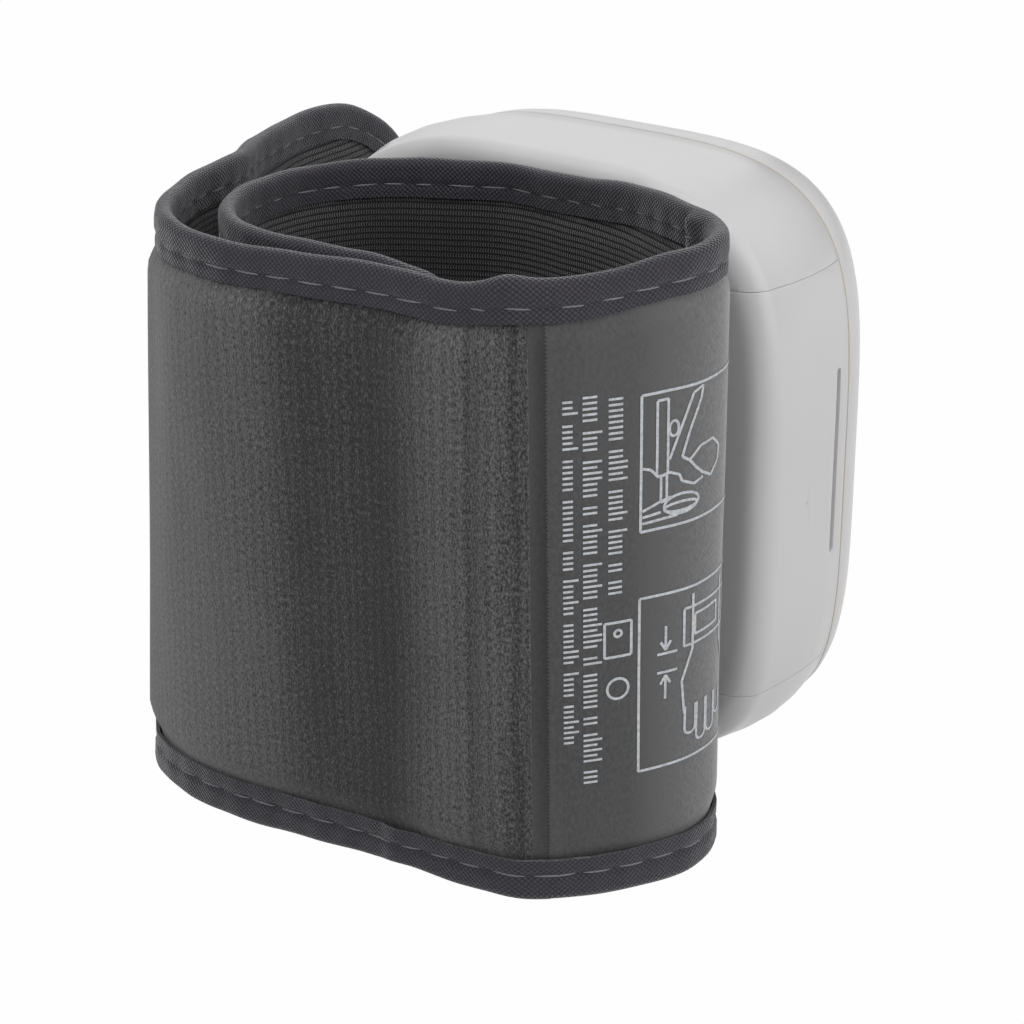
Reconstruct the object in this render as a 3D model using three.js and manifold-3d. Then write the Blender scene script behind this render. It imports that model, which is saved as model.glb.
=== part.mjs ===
// Wrist blood pressure monitor: a display case carried by a fabric cuff that wraps round the wrist.
// Millimetres. +Z runs along the wrist and the monitor stands on the cuff's lower hem.
// The display faces -Y, the cuff lies on the +Y side and the battery cover is on the -X side.
import * as THREE from "three";
import { mergeVertices } from "three/addons/utils/BufferGeometryUtils.js";
import Module from "manifold-3d";

// Clearances
const fitGap = 0.3;
const layerGap = 0.2;
const partingGap = 0.3;

// Battery cells, size AAA, with the room for their contacts
const cellDiameter = 10.5;
const cellLength = 44.5;
const cellNubDiameter = 3.8;
const cellNubLength = 0.8;
const cellPitchGap = 0.5;
const cellSideRoom = 0.6;
const cellInset = 4;
const springRoom = 4.0;
const contactRoom = 1.0;
const contactSize = 8;
const contactThickness = 0.4;
const springWire = 0.6;
const springWideDiameter = 7.6;
const springNarrowDiameter = 4.4;
const springTurns = 3;

// Shells
const wall = 1.8;
const ribWall = 1.2;
const frontWall = 2.6;
const squareness = 4;
const tailSideTrim = 3.2; // the case is this much nearer on the side of the flap's tail
const frontFullness = 0.75; // below 1 the front's sides stay upright for longer
const frontEdgeRound = 9;
const frontInnerRound = 7.6;
const backEdgeRound = 5;
const backInnerRound = 3.4;
const cradleRadius = 70;
const caseFootClearance = 0.1;
const ringPoints = 36;

// Screws and their bosses
const screwSpacingX = 40;
const bossRadius = 3.3;
const bossMargin = 1.75;
const screwShankDiameter = 2.2;
const screwHeadDiameter = 4.4;
const screwHeadHeight = 1.6;
const screwSeatDepth = 8;
const pilotFloor = 0.7;

// Display stack, from the window back to the circuit board
const windowWidth = 42;
const windowHeight = 31;
const windowThickness = 1.2;
const windowSink = 0.2;
const windowCorner = 4;
const windowLedge = 1.5;
const windowCentreX = 6.5;
const lcdThickness = 2.4;
const lcdMargin = 0.5;
const connectorHeight = 1.4;
const connectorWidth = 1.8;
const boardThickness = 1.2;
const boardInset = 5;

// Buttons and their switches
const buttonRowX = -18.5;
const buttonHeight = 8.6;
const buttonCorner = 3.8;
const startButtonWidth = 19;
const memoryButtonWidth = 11;
const startButtonZ = -8.5;
const memoryButtonZ = 12.5;
const buttonProud = 0.7;
const buttonTravel = 0.8;
const buttonFlange = 1.0;
const buttonFlangeThickness = 0.7;
const switchSize = 6;
const switchHeight = 2;
const plungerDiameter = 3;
const plungerHeight = 0.5;

// Air system
const pumpMotorDiameter = 11.6;
const pumpMotorLength = 16;
const pumpHeadDiameter = 12;
const pumpHeadLength = 11;
const pumpFromBoss = 1.45;
const cradleWall = 0.9;
const cradleLength = 9;
const middleBay = 12.5;
const pumpSideRoom = 7.3;
const valveDiameter = 8.6;
const valveLength = 14;
const valveStart = -18;
const boardRoom = 1.0;
const airLineY = 5.6;
const manifoldZ = 10;
const manifoldSize = 5;
const manifoldDepth = 4;
const stubDiameter = 2.4;
const stubLength = 2.4;
const hoseDiameter = 4.2;
const hoseWall = 0.6;
const sensorWidth = 7;
const sensorLength = 6;
const sensorZ = 18.5;
const nippleStemDiameter = 3.4;
const nippleFlangeDiameter = 5.2;
const nippleFlangeHeight = 1.2;
const nippleBore = 1.2;
const buzzerDiameter = 10;
const buzzerHeight = 3;
const buzzerX = 13;
const buzzerZ = 22;
const chipSize = 7;
const chipHeight = 1.1;
const chipX = 6;
const chipZ = -6;

// Battery cover
const doorHalfHeight = 25.1;
const doorFlapLength = 13.5;
const doorTabLength = 3;
const doorTabWidth = 8;
const doorTabThickness = 1.2;
const doorTabSpacing = 28;
const grooveLength = 23.3;
const grooveWidth = 0.8;
const grooveDepth = 0.7;
const grooveFromParting = 3.4;
const grooveAboveMiddle = 1.1;

// Cuff strip: its layers, its hem and the loop that it is wrapped into
const cuffBelowCase = 0.6;
const outerPanelThickness = 0.5;
const stiffenerThickness = 0.4;
const bladderThickness = 0.7;
const liningThickness = 0.4;
const loopPileThickness = 0.9;
const flapLiningThickness = 0.6;
const hookThickness = 0.8;
const hookLength = 26;
const hookFromRound = 3.5;
const hemWidth = 4.6;
const tapeThickness = 0.45;
const tapeGap = 0.25;
const bladderMargin = 8;
const wristWidth = 58.9;
const wristDepth = 37.6;
const cuffOverhang = 1.2;
const seamGap = 1.0;
const innerEndRound = 8;
const tailEndRound = 24;
const tailPastFront = 5.5;
const tailBends = [
  { in: 3.4, beyond: 10.4 },
  { in: 1.2, beyond: 4.5 },
  { in: 0.2, beyond: -1.5 },
  { in: 0, beyond: -7 },
];
const mountPlateThickness = 0.75;
const mountPlateWidth = 18;
const mountPlateHeight = 44;
const lugWidth = 5;
const lugThickness = 2.2;
const lugHook = 1.2;
const lugSpacing = 32;
const lugFromPlateEdge = 3.4;

// Sizes that follow from the ones above
const bayHalf = (cellLength + springRoom + contactRoom) / 2;
const bossZ = bayHalf + ribWall + bossRadius - fitGap;
const caseHeight = 2 * (bossZ + bossRadius + bossMargin + wall);
const cuffHeight = caseHeight - cuffBelowCase;
const cellPitch = cellDiameter + cellPitchGap;
const bayWidth = cellInset + cellDiameter + cellPitch + cellSideRoom;
const pumpCradleDiameter = pumpMotorDiameter + 2 * (fitGap + cradleWall);
const airWidth = fitGap + valveDiameter + middleBay + pumpCradleDiameter + pumpSideRoom;
const caseWidth = bayWidth + ribWall + airWidth + wall;
const caseSide = caseWidth / 2;
const frontDepth = frontWall + lcdThickness + connectorHeight + boardThickness + 3 * fitGap;
const frontInner = frontDepth - frontWall;
const cellY = boardRoom + ribWall + fitGap + cellDiameter / 2;
const cradleDepth = cellY + cellDiameter / 2 + fitGap + wall;
const caseMiddleZ = caseHeight / 2 + caseFootClearance;
const cellOuterX = -caseSide + cellInset + cellDiameter / 2;
const cellInnerX = cellOuterX + cellPitch;
const bayWallX = -caseSide + bayWidth;
const valveX = bayWallX + ribWall + fitGap + valveDiameter / 2;
const pumpX = valveX + valveDiameter / 2 + middleBay + pumpCradleDiameter / 2;
const pumpY = fitGap + pumpCradleDiameter / 2;
const screwX = screwSpacingX / 2;
const pumpStart = -(bossZ - bossRadius) + pumpFromBoss;

const wasm = await Module();
wasm.setup();

// A closed geometry as a solid that can be joined and cut.
function solidOf(geometry) {
  const bare = geometry.clone();
  bare.deleteAttribute("normal");
  bare.deleteAttribute("uv");
  const merged = mergeVertices(bare, 1e-4);
  const vertProperties = new Float32Array(merged.attributes.position.array);
  const triVerts = new Uint32Array(merged.index.array);
  return new wasm.Manifold(new wasm.Mesh({ numProp: 3, vertProperties, triVerts }));
}

// A solid back as geometry.
function geometryOf(solid) {
  const mesh = solid.getMesh();
  const geometry = new THREE.BufferGeometry();
  geometry.setAttribute("position", new THREE.BufferAttribute(new Float32Array(mesh.vertProperties), 3));
  geometry.setIndex(new THREE.BufferAttribute(new Uint32Array(mesh.triVerts), 1));
  geometry.computeVertexNormals();
  return geometry;
}

// Points and triangles as geometry, turned so that its faces look outwards.
function closedGeometry(points, faces) {
  let volume = 0;
  for (const [a, b, c] of faces) {
    volume += points[a].dot(points[b].clone().cross(points[c]));
  }
  const order = volume < 0 ? faces.map(([a, b, c]) => [a, c, b]) : faces;
  const geometry = new THREE.BufferGeometry().setFromPoints(points);
  geometry.setIndex(order.flat());
  geometry.computeVertexNormals();
  return geometry;
}

// Rings of equal length joined into one skin, with the same triangles of ring points covering both ends.
function skin(rings, cover) {
  const count = rings[0].length;
  const points = rings.flat();
  const faces = [];
  for (let r = 0; r + 1 < rings.length; r++) {
    for (let i = 0; i < count; i++) {
      const here = r * count + i;
      const next = r * count + ((i + 1) % count);
      faces.push([here, next, next + count], [here, next + count, here + count]);
    }
  }
  const last = (rings.length - 1) * count;
  for (const [a, b, c] of cover) {
    faces.push([a, c, b], [last + a, last + b, last + c]);
  }
  return closedGeometry(points, faces);
}

// Triangles that cover a ring whose outline is convex.
function fanCover(count) {
  return Array.from({ length: count - 2 }, (_, i) => [0, i + 1, i + 2]);
}

function block(low, high) {
  const size = high.map((value, axis) => value - low[axis]);
  const middle = high.map((value, axis) => (value + low[axis]) / 2);
  return new THREE.BoxGeometry(...size).translate(...middle);
}

// A cylinder along Y between two values of y.
function rodY(radius, x, z, yLow, yHigh, sides = 16) {
  const rod = new THREE.CylinderGeometry(radius, radius, yHigh - yLow, sides);
  return rod.translate(x, (yLow + yHigh) / 2, z);
}

// A cylinder along Z between two values of z.
function rodZ(radius, x, y, zLow, zHigh, sides = 20) {
  const rod = new THREE.CylinderGeometry(radius, radius, zHigh - zLow, sides);
  return rod.rotateX(Math.PI / 2).translate(x, y, (zLow + zHigh) / 2);
}

// A cylinder along X between two values of x.
function rodX(radius, y, z, xLow, xHigh, sides = 12) {
  const rod = new THREE.CylinderGeometry(radius, radius, xHigh - xLow, sides);
  return rod.rotateZ(Math.PI / 2).translate((xLow + xHigh) / 2, y, z);
}

// A flat shape in X and Z as a plate between two values of y.
function plateY(shape, yLow, yHigh, curveSegments = 3) {
  const plate = new THREE.ExtrudeGeometry(shape, { depth: yHigh - yLow, bevelEnabled: false, curveSegments });
  return plate.rotateX(Math.PI / 2).translate(0, yHigh, 0);
}

// A rectangle with round corners: its middle, its size along X and Z, and its corner radius.
function roundedRectangle(x, z, sizeX, sizeZ, radius) {
  const shape = new THREE.Shape();
  const right = x + sizeX / 2;
  const left = x - sizeX / 2;
  const top = z + sizeZ / 2;
  const bottom = z - sizeZ / 2;
  shape.moveTo(left + radius, bottom);
  shape.absarc(right - radius, bottom + radius, radius, -Math.PI / 2, 0, false);
  shape.absarc(right - radius, top - radius, radius, 0, Math.PI / 2, false);
  shape.absarc(left + radius, top - radius, radius, Math.PI / 2, Math.PI, false);
  shape.absarc(left + radius, bottom + radius, radius, Math.PI, 1.5 * Math.PI, false);
  return shape;
}

function joined(first, ...others) {
  return others.reduce((sum, other) => sum.add(other), first);
}

function cut(first, ...others) {
  return others.reduce((rest, other) => rest.subtract(other), first);
}

// The case's outline in X and Z, a rounded square drawn in by an inset.
function caseOutline(inset) {
  const halfZ = caseHeight / 2 - inset;
  return Array.from({ length: ringPoints }, (_, i) => {
    const angle = ((i + 0.5) / ringPoints) * 2 * Math.PI;
    const across = Math.cos(angle);
    const up = Math.sin(angle);
    const halfX = caseSide - (across > 0 ? tailSideTrim : 0) - inset;
    const x = halfX * Math.sign(across) * Math.abs(across) ** (2 / squareness);
    const z = halfZ * Math.sign(up) * Math.abs(up) ** (2 / squareness);
    return [x, z];
  });
}

function caseRing(inset, yAt) {
  return caseOutline(inset).map(([x, z]) => new THREE.Vector3(x, yAt(x), z));
}

// The hollow back that the cuff lies in, raised towards the cuff by an offset.
function cradleY(x, offset = 0) {
  const radius = cradleRadius - offset;
  return cradleDepth + cradleRadius - Math.sqrt(radius * radius - x * x);
}

const quarterSteps = [0, 0.25, 0.5, 0.75, 1].map((share) => (share * Math.PI) / 2);
const hollowShares = [0.3, 0.6, 0.88];

// Front case body: from the parting plane at y = 0 over a round edge to the flat front.
function frontBody(inset, round, depth, start) {
  const rings = quarterSteps.map((angle) => {
    const y = angle > 0 ? -depth * Math.sin(angle) : start;
    return caseRing(inset + round * (1 - Math.cos(angle) ** frontFullness), () => y);
  });
  return solidOf(skin(rings, fanCover(ringPoints)));
}

// Rear case body: from the parting plane over a round edge to the hollow back.
function rearBody(inset, round, sink, start) {
  const rings = [caseRing(inset, () => start)];
  for (const angle of quarterSteps) {
    const drawnIn = inset + round * (1 - Math.cos(angle));
    rings.push(caseRing(drawnIn, (x) => cradleY(x) - sink - round + round * Math.sin(angle)));
  }
  const edge = inset + round;
  const reach = Math.min(caseWidth, caseHeight) / 2 - edge;
  for (const share of hollowShares) {
    rings.push(caseRing(edge + share * reach, (x) => cradleY(x) - sink));
  }
  return solidOf(skin(rings, fanCover(ringPoints)));
}

function addPart(group, name, geometry, color, roughness, metalness = 0) {
  const material = new THREE.MeshStandardMaterial({ color, roughness, metalness });
  const mesh = new THREE.Mesh(geometry, material);
  mesh.name = name;
  group.add(mesh);
  return mesh;
}

const caseWhite = 0xd9d8d4;
const buttonGrey = 0x9ea3a8;
const boardGreen = 0x1f5a3a;
const steel = 0xb9bcc0;
const black = 0x1b1b1d;
const siliconeWhite = 0xd8d8d2;
const cuffGrey = 0x56565a;
const pileGrey = 0x4b4b4e;
const tapeGrey = 0x4a4751;
const knitBlack = 0x1d1d20;

const housing = new THREE.Group();
housing.position.z = caseMiddleZ;
const cuff = new THREE.Group();

const screwPlaces = [];
for (const x of [-screwX, screwX]) {
  for (const z of [-bossZ, bossZ]) {
    screwPlaces.push([x, z]);
  }
}

// Front case, with the window's seat, the button holes and the screw bosses
const boardFront = -boardThickness;
const seatDepth = windowSink + windowThickness + fitGap;
const buttons = [
  { name: "start_stop_button", z: startButtonZ, width: startButtonWidth },
  { name: "memory_button", z: memoryButtonZ, width: memoryButtonWidth },
];

function buttonShape(button, grow) {
  const sizeX = buttonHeight + 2 * grow;
  return roundedRectangle(buttonRowX, button.z, sizeX, button.width + 2 * grow, buttonCorner + grow);
}

function windowShape(grow) {
  return roundedRectangle(
    windowCentreX,
    0,
    windowHeight + 2 * grow,
    windowWidth + 2 * grow,
    Math.max(windowCorner + grow, 0.5),
  );
}

function makeFrontCase() {
  const outer = frontBody(0, frontEdgeRound, frontDepth, -partingGap / 2);
  const room = frontBody(wall, frontInnerRound, frontInner, 1);
  const middleRound = (frontEdgeRound + frontInnerRound) / 2;
  const core = frontBody(wall / 2, middleRound, frontDepth - frontWall / 2, 1);
  let body = cut(outer, room);
  for (const [x, z] of screwPlaces) {
    const boss = solidOf(rodY(bossRadius, x, z, -frontDepth, boardFront - fitGap));
    const pilot = screwShankDiameter / 2 + fitGap;
    body = body.add(boss.intersect(core));
    body = body.subtract(solidOf(rodY(pilot, x, z, -frontInner + pilotFloor, 1, 12)));
  }
  body = body.subtract(solidOf(plateY(windowShape(fitGap), -frontDepth - 1, -frontDepth + seatDepth)));
  body = body.subtract(solidOf(plateY(windowShape(-windowLedge), -frontDepth - 1, 0)));
  for (const button of buttons) {
    body = body.subtract(solidOf(plateY(buttonShape(button, fitGap), -frontDepth - 1, 0)));
  }
  return body;
}

// Rear case and battery cover, cut from one shell
const rearOuter = rearBody(0, backEdgeRound, 0, partingGap / 2);
const rearRoom = rearBody(wall, backInnerRound, wall, -1);
const rearShell = cut(rearOuter, rearRoom);
const doorEdgeX = -caseSide + doorFlapLength;
const deep = cradleDepth + cradleRadius;

function doorBox(shrink) {
  const low = [-caseWidth, -1, -doorHalfHeight + shrink];
  const high = [doorEdgeX - shrink, deep, doorHalfHeight - shrink];
  return solidOf(block(low, high));
}

function makeRearCase() {
  const middleRound = (backEdgeRound + backInnerRound) / 2;
  const core = rearBody(wall / 2, middleRound, wall / 2, partingGap);
  const doorRoom = rearBody(wall + fitGap, backInnerRound, wall + fitGap, -1);
  const doorZone = doorBox(-fitGap).subtract(doorRoom);
  const coverPathLow = [-caseWidth, cradleY(doorEdgeX) - wall - fitGap, -doorHalfHeight];
  const coverPath = solidOf(block(coverPathLow, [doorEdgeX + fitGap, deep, doorHalfHeight]));
  const bayEnd = bayHalf + ribWall;
  const baySide = -caseSide + wall + fitGap;
  const bayHigh = bayWallX + ribWall;
  let inside = joined(
    solidOf(block([baySide, boardRoom, -bayEnd], [bayHigh, boardRoom + ribWall, bayEnd])),
    solidOf(block([bayWallX, boardRoom, -bayEnd], [bayHigh, deep, bayEnd])),
    solidOf(block([baySide, boardRoom, -bayEnd], [bayHigh, deep, -bayHalf])),
    solidOf(block([baySide, boardRoom, bayHalf], [bayHigh, deep, bayEnd])),
  );
  for (const [x, z] of screwPlaces) {
    inside = inside.add(solidOf(rodY(bossRadius, x, z, 2 * fitGap, deep)));
  }
  let body = rearShell.subtract(doorBox(0));
  body = body.add(cut(inside.intersect(core), doorZone, coverPath));
  for (const [x, z] of screwPlaces) {
    body = body.subtract(solidOf(rodY(screwShankDiameter / 2 + fitGap, x, z, -1, deep, 12)));
    body = body.subtract(solidOf(rodY(screwHeadDiameter / 2 + fitGap, x, z, screwSeatDepth, deep, 12)));
  }
  const airHole = nippleStemDiameter / 2 + fitGap;
  body = body.subtract(solidOf(rodY(airHole, valveX, manifoldZ, cradleDepth / 2, deep, 12)));
  for (const lug of lugPlaces()) {
    const low = [lug.x - lugWidth / 2 - fitGap, cradleDepth / 2, lug.z - lugThickness / 2 - fitGap];
    const high = [lug.x + lugWidth / 2 + fitGap, deep, lug.z + lugThickness / 2 + lugHook + fitGap];
    body = body.subtract(solidOf(block(low, high)));
  }
  return body;
}

function makeBatteryCover() {
  let cover = rearShell.intersect(doorBox(fitGap));
  for (const side of [-1, 1]) {
    const z = (side * doorTabSpacing) / 2;
    const top = cradleY(doorEdgeX) - wall - fitGap;
    const inner = doorEdgeX + doorTabLength;
    const low = [doorEdgeX - doorTabLength, top - doorTabThickness, z - doorTabWidth / 2];
    const high = [inner, cradleY(inner) - wall - fitGap, z + doorTabWidth / 2];
    const root = [doorEdgeX - fitGap, cradleY(doorEdgeX) - wall / 2, z + doorTabWidth / 2];
    cover = joined(cover, solidOf(block(low, high)), solidOf(block(low, root)));
  }
  const grooveLow = grooveAboveMiddle - grooveLength / 2;
  const groove = block(
    [-caseWidth, grooveFromParting - grooveWidth / 2, grooveLow],
    [-caseSide + grooveDepth, grooveFromParting + grooveWidth / 2, grooveLow + grooveLength],
  );
  return cover.subtract(solidOf(groove));
}

function lugPlaces() {
  const x = mountPlateEdgeX() - lugFromPlateEdge;
  return [-1, 1].map((side) => ({ x, z: (side * lugSpacing) / 2 }));
}

function mountPlateEdgeX() {
  return bayWallX + ribWall + fitGap + lugWidth + lugFromPlateEdge;
}

addPart(housing, "front_case", geometryOf(makeFrontCase()), caseWhite, 0.42);
addPart(housing, "rear_case", geometryOf(makeRearCase()), caseWhite, 0.42);
addPart(housing, "battery_cover", geometryOf(makeBatteryCover()), caseWhite, 0.42);

// Display window, LCD and the two rubber connectors to the board
const windowBack = -frontDepth + windowSink + windowThickness;
const lcdFront = -frontInner + fitGap;
const lcdBack = lcdFront + lcdThickness;
const lcdHalfX = windowHeight / 2 - lcdMargin;
const lcdHalfZ = windowWidth / 2 - lcdMargin;
const windowPane = plateY(windowShape(0), -frontDepth + windowSink, windowBack);
addPart(housing, "lcd_window", windowPane, 0x6d7a80, 0.1);
addPart(
  housing,
  "lcd_panel",
  block([windowCentreX - lcdHalfX, lcdFront, -lcdHalfZ], [windowCentreX + lcdHalfX, lcdBack, lcdHalfZ]),
  0xa3aa96,
  0.3,
);
for (const [index, side] of [-1, 1].entries()) {
  const x = windowCentreX + side * (lcdHalfX - connectorWidth / 2);
  const low = [x - connectorWidth / 2, lcdBack + fitGap, -lcdHalfZ];
  const high = [x + connectorWidth / 2, lcdBack + fitGap + connectorHeight, lcdHalfZ];
  addPart(housing, `lcd_connector_${index + 1}`, block(low, high), 0x7c7f86, 0.8);
}

// Circuit board with its switches and chips
function makeBoard() {
  const shape = new THREE.Shape(caseOutline(boardInset).map(([x, z]) => new THREE.Vector2(x, z)));
  let board = solidOf(plateY(shape, -boardThickness, 0));
  for (const [x, z] of screwPlaces) {
    board = board.subtract(solidOf(rodY(screwShankDiameter / 2 + fitGap, x, z, -boardThickness - 1, 1)));
  }
  return board;
}
addPart(housing, "main_board", geometryOf(makeBoard()), boardGreen, 0.5);

const plungerTop = boardFront - fitGap - switchHeight - plungerHeight;
const buttonBottom = plungerTop - buttonTravel - layerGap;
for (const button of buttons) {
  const flangeTop = -frontInner + fitGap;
  const flangeBottom = Math.max(buttonBottom, flangeTop + buttonFlangeThickness);
  const cap = solidOf(plateY(buttonShape(button, 0), -frontDepth - buttonProud, flangeBottom));
  const flange = solidOf(plateY(buttonShape(button, buttonFlange), flangeTop, flangeBottom));
  addPart(housing, button.name, geometryOf(cap.add(flange)), buttonGrey, 0.45);
  const half = switchSize / 2;
  const top = boardFront - fitGap;
  const low = [buttonRowX - half, top - switchHeight, button.z - half];
  const high = [buttonRowX + half, top, button.z + half];
  const plunger = rodY(plungerDiameter / 2, buttonRowX, button.z, plungerTop, top - switchHeight / 2, 12);
  const body = solidOf(block(low, high)).add(solidOf(plunger));
  addPart(housing, button.name.replace("button", "switch"), geometryOf(body), black, 0.5);
}

const chipLow = [chipX - chipSize / 2, fitGap, chipZ - chipSize / 2];
const chipHigh = [chipX + chipSize / 2, fitGap + chipHeight, chipZ + chipSize / 2];
addPart(housing, "controller_chip", block(chipLow, chipHigh), black, 0.5);
const buzzer = rodY(buzzerDiameter / 2, buzzerX, buzzerZ, fitGap, fitGap + buzzerHeight);
addPart(housing, "buzzer", buzzer, black, 0.4);

// Pump, valve, pressure sensor and the manifold that joins them
const stub = stubDiameter / 2;
const pumpHeadStart = pumpStart + pumpMotorLength + fitGap;
const pumpHeadEnd = pumpHeadStart + pumpHeadLength;
const motorEnd = pumpStart + pumpMotorLength;
const pumpMotor = rodZ(pumpMotorDiameter / 2, pumpX, pumpY, pumpStart, motorEnd);
addPart(housing, "pump_motor", pumpMotor, steel, 0.3, 0.9);

const pumpHead = solidOf(rodZ(pumpHeadDiameter / 2, pumpX, pumpY, pumpHeadStart, pumpHeadEnd)).add(
  solidOf(rodZ(stub, pumpX, pumpY, pumpHeadEnd - 1, pumpHeadEnd + stubLength, 12)),
);
addPart(housing, "pump_head", geometryOf(pumpHead), 0x2c2d30, 0.5);

const sleeveStart = pumpStart + (pumpMotorLength - cradleLength) / 2;
const sleeveEnd = sleeveStart + cradleLength;
const sleeve = solidOf(rodZ(pumpCradleDiameter / 2, pumpX, pumpY, sleeveStart, sleeveEnd)).subtract(
  solidOf(rodZ(pumpMotorDiameter / 2 + fitGap, pumpX, pumpY, sleeveStart - 1, sleeveEnd + 1)),
);
addPart(housing, "pump_cradle", geometryOf(sleeve), 0x3a3a3c, 0.9);

const valveEnd = valveStart + valveLength;
const valve = solidOf(rodZ(valveDiameter / 2, valveX, airLineY, valveStart, valveEnd)).add(
  solidOf(rodZ(stub, valveX, airLineY, valveEnd - 1, valveEnd + stubLength, 12)),
);
addPart(housing, "air_valve", geometryOf(valve), steel, 0.35, 0.7);

const manifoldHalf = manifoldSize / 2;
const manifoldLow = [valveX - manifoldHalf, airLineY - manifoldDepth / 2, manifoldZ - manifoldHalf];
const manifoldHigh = [valveX + manifoldHalf, airLineY + manifoldDepth / 2, manifoldZ + manifoldHalf];
const manifold = joined(
  solidOf(block(manifoldLow, manifoldHigh)),
  solidOf(rodX(stub, airLineY, manifoldZ, valveX, manifoldHigh[0] + stubLength)),
  solidOf(rodZ(stub, valveX, airLineY, manifoldLow[2] - stubLength, manifoldHigh[2] + stubLength, 12)),
  solidOf(rodY(stub, valveX, manifoldZ, airLineY, manifoldHigh[1] + stubLength, 12)),
);
addPart(housing, "air_manifold", geometryOf(manifold), siliconeWhite, 0.4);

const sensorStart = Math.max(sensorZ, manifoldHigh[2] + 2 * stubLength + fitGap);
const sensorLow = [valveX - sensorWidth / 2, fitGap, sensorStart];
const sensorHigh = [valveX + sensorWidth / 2, airLineY + stub + fitGap, sensorStart + sensorLength];
const sensor = solidOf(block(sensorLow, sensorHigh)).add(
  solidOf(rodZ(stub, valveX, airLineY, sensorStart - stubLength, sensorStart + 1, 12)),
);
addPart(housing, "pressure_sensor", geometryOf(sensor), 0x2a2b2e, 0.5);

// Silicone hoses, pushed over the stubs
function hose(points) {
  const path = new THREE.CatmullRomCurve3(points.map((p) => new THREE.Vector3(...p)));
  const ring = new THREE.Shape().absarc(0, 0, hoseDiameter / 2, 0, 2 * Math.PI, false);
  ring.holes.push(new THREE.Path().absarc(0, 0, hoseDiameter / 2 - hoseWall, 0, 2 * Math.PI, true));
  const steps = points.length > 2 ? 11 : 1;
  const settings = { extrudePath: path, steps, curveSegments: 4, bevelEnabled: false };
  return new THREE.ExtrudeGeometry(ring, settings);
}

const nippleStart = manifoldHigh[1] + stubLength + fitGap;
const nippleShoulder = cradleY(valveX) - wall - fitGap - nippleFlangeHeight;
const turn = hoseDiameter;
const hoses = {
  air_hose_pump: [
    [pumpX, pumpY, pumpHeadEnd + fitGap],
    [pumpX, pumpY, pumpHeadEnd + stubLength],
    [pumpX - turn / 2, pumpY, manifoldZ - turn / 4],
    [pumpX - 2 * turn, airLineY, manifoldZ],
    [manifoldHigh[0] + stubLength, airLineY, manifoldZ],
    [manifoldHigh[0] + fitGap, airLineY, manifoldZ],
  ],
  air_hose_valve: [
    [valveX, airLineY, valveEnd + fitGap],
    [valveX, airLineY, manifoldLow[2] - fitGap],
  ],
  air_hose_sensor: [
    [valveX, airLineY, manifoldHigh[2] + fitGap],
    [valveX, airLineY, sensorStart - fitGap],
  ],
  air_hose_cuff: [
    [valveX, manifoldHigh[1] + fitGap, manifoldZ],
    [valveX, nippleShoulder - fitGap, manifoldZ],
  ],
};
for (const [name, points] of Object.entries(hoses)) {
  addPart(housing, name, hose(points), siliconeWhite, 0.6);
}

// Battery cells, their springs and contacts: the two cells lie opposite ways
function makeCell() {
  const radius = cellDiameter / 2;
  const shoulder = cellLength / 2 - cellNubLength;
  const profile = [
    [0, -cellLength / 2],
    [radius, -cellLength / 2],
    [radius, shoulder],
    [cellNubDiameter / 2, shoulder],
    [cellNubDiameter / 2, cellLength / 2],
    [0, cellLength / 2],
  ];
  const points = profile.map(([r, y]) => new THREE.Vector2(r, y));
  return new THREE.LatheGeometry(points, 20).rotateX(Math.PI / 2);
}

const springStepsPerTurn = 8;
const springSides = 5;

// A conical spring along Z, wide at its foot, as one unbroken wire.
function makeSpring() {
  const height = springRoom - 2 * fitGap - springWire;
  const steps = springTurns * springStepsPerTurn;
  const centres = Array.from({ length: steps + 1 }, (_, i) => {
    const share = i / steps;
    const angle = share * springTurns * 2 * Math.PI;
    const radius = (springWideDiameter + share * (springNarrowDiameter - springWideDiameter)) / 2;
    return new THREE.Vector3(radius * Math.cos(angle), radius * Math.sin(angle), share * height);
  });
  const rings = centres.map((centre, i) => {
    const out = new THREE.Vector3(centre.x, centre.y, 0).normalize();
    return Array.from({ length: springSides }, (_, k) => {
      const angle = (k / springSides) * 2 * Math.PI;
      const offset = out.clone().multiplyScalar(Math.cos(angle));
      offset.z = Math.sin(angle);
      return offset.multiplyScalar(springWire / 2).add(centres[i]);
    });
  });
  return { geometry: skin(rings, fanCover(springSides)), centres };
}

// The least distance between turns of a wire, from skin to skin.
function leastGap(centres, apart, thickness) {
  let least = Infinity;
  centres.forEach((a, i) => {
    centres.slice(i + apart).forEach((b) => {
      least = Math.min(least, a.distanceTo(b) - thickness);
    });
  });
  return least;
}

const spring = makeSpring();
const springGap = leastGap(spring.centres, springStepsPerTurn - 2, springWire);
console.log(`battery spring, least gap between turns: ${springGap.toFixed(2)} mm`);

const cells = [
  { x: cellOuterX, way: 1 },
  { x: cellInnerX, way: -1 },
];
cells.forEach(({ x, way }, index) => {
  const turned = way > 0 ? 0 : Math.PI;
  const shift = (way * (springRoom - contactRoom)) / 2;
  const cell = addPart(housing, `battery_cell_${index + 1}`, makeCell(), 0x3c4f6e, 0.35);
  cell.position.set(x, cellY, shift);
  cell.rotation.x = turned;
  const coil = addPart(housing, `battery_spring_${index + 1}`, spring.geometry, steel, 0.25, 1);
  coil.position.set(x, cellY, way * (-bayHalf + fitGap + springWire / 2));
  coil.rotation.x = turned;
  const half = contactSize / 2;
  const contact = block([-half, -half, 0], [half, half, contactThickness]);
  const plate = addPart(housing, `battery_contact_${index + 1}`, contact, steel, 0.3, 1);
  plate.position.set(x, cellY, way * (bayHalf - fitGap));
  plate.rotation.x = way > 0 ? Math.PI : 0;
});

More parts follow.
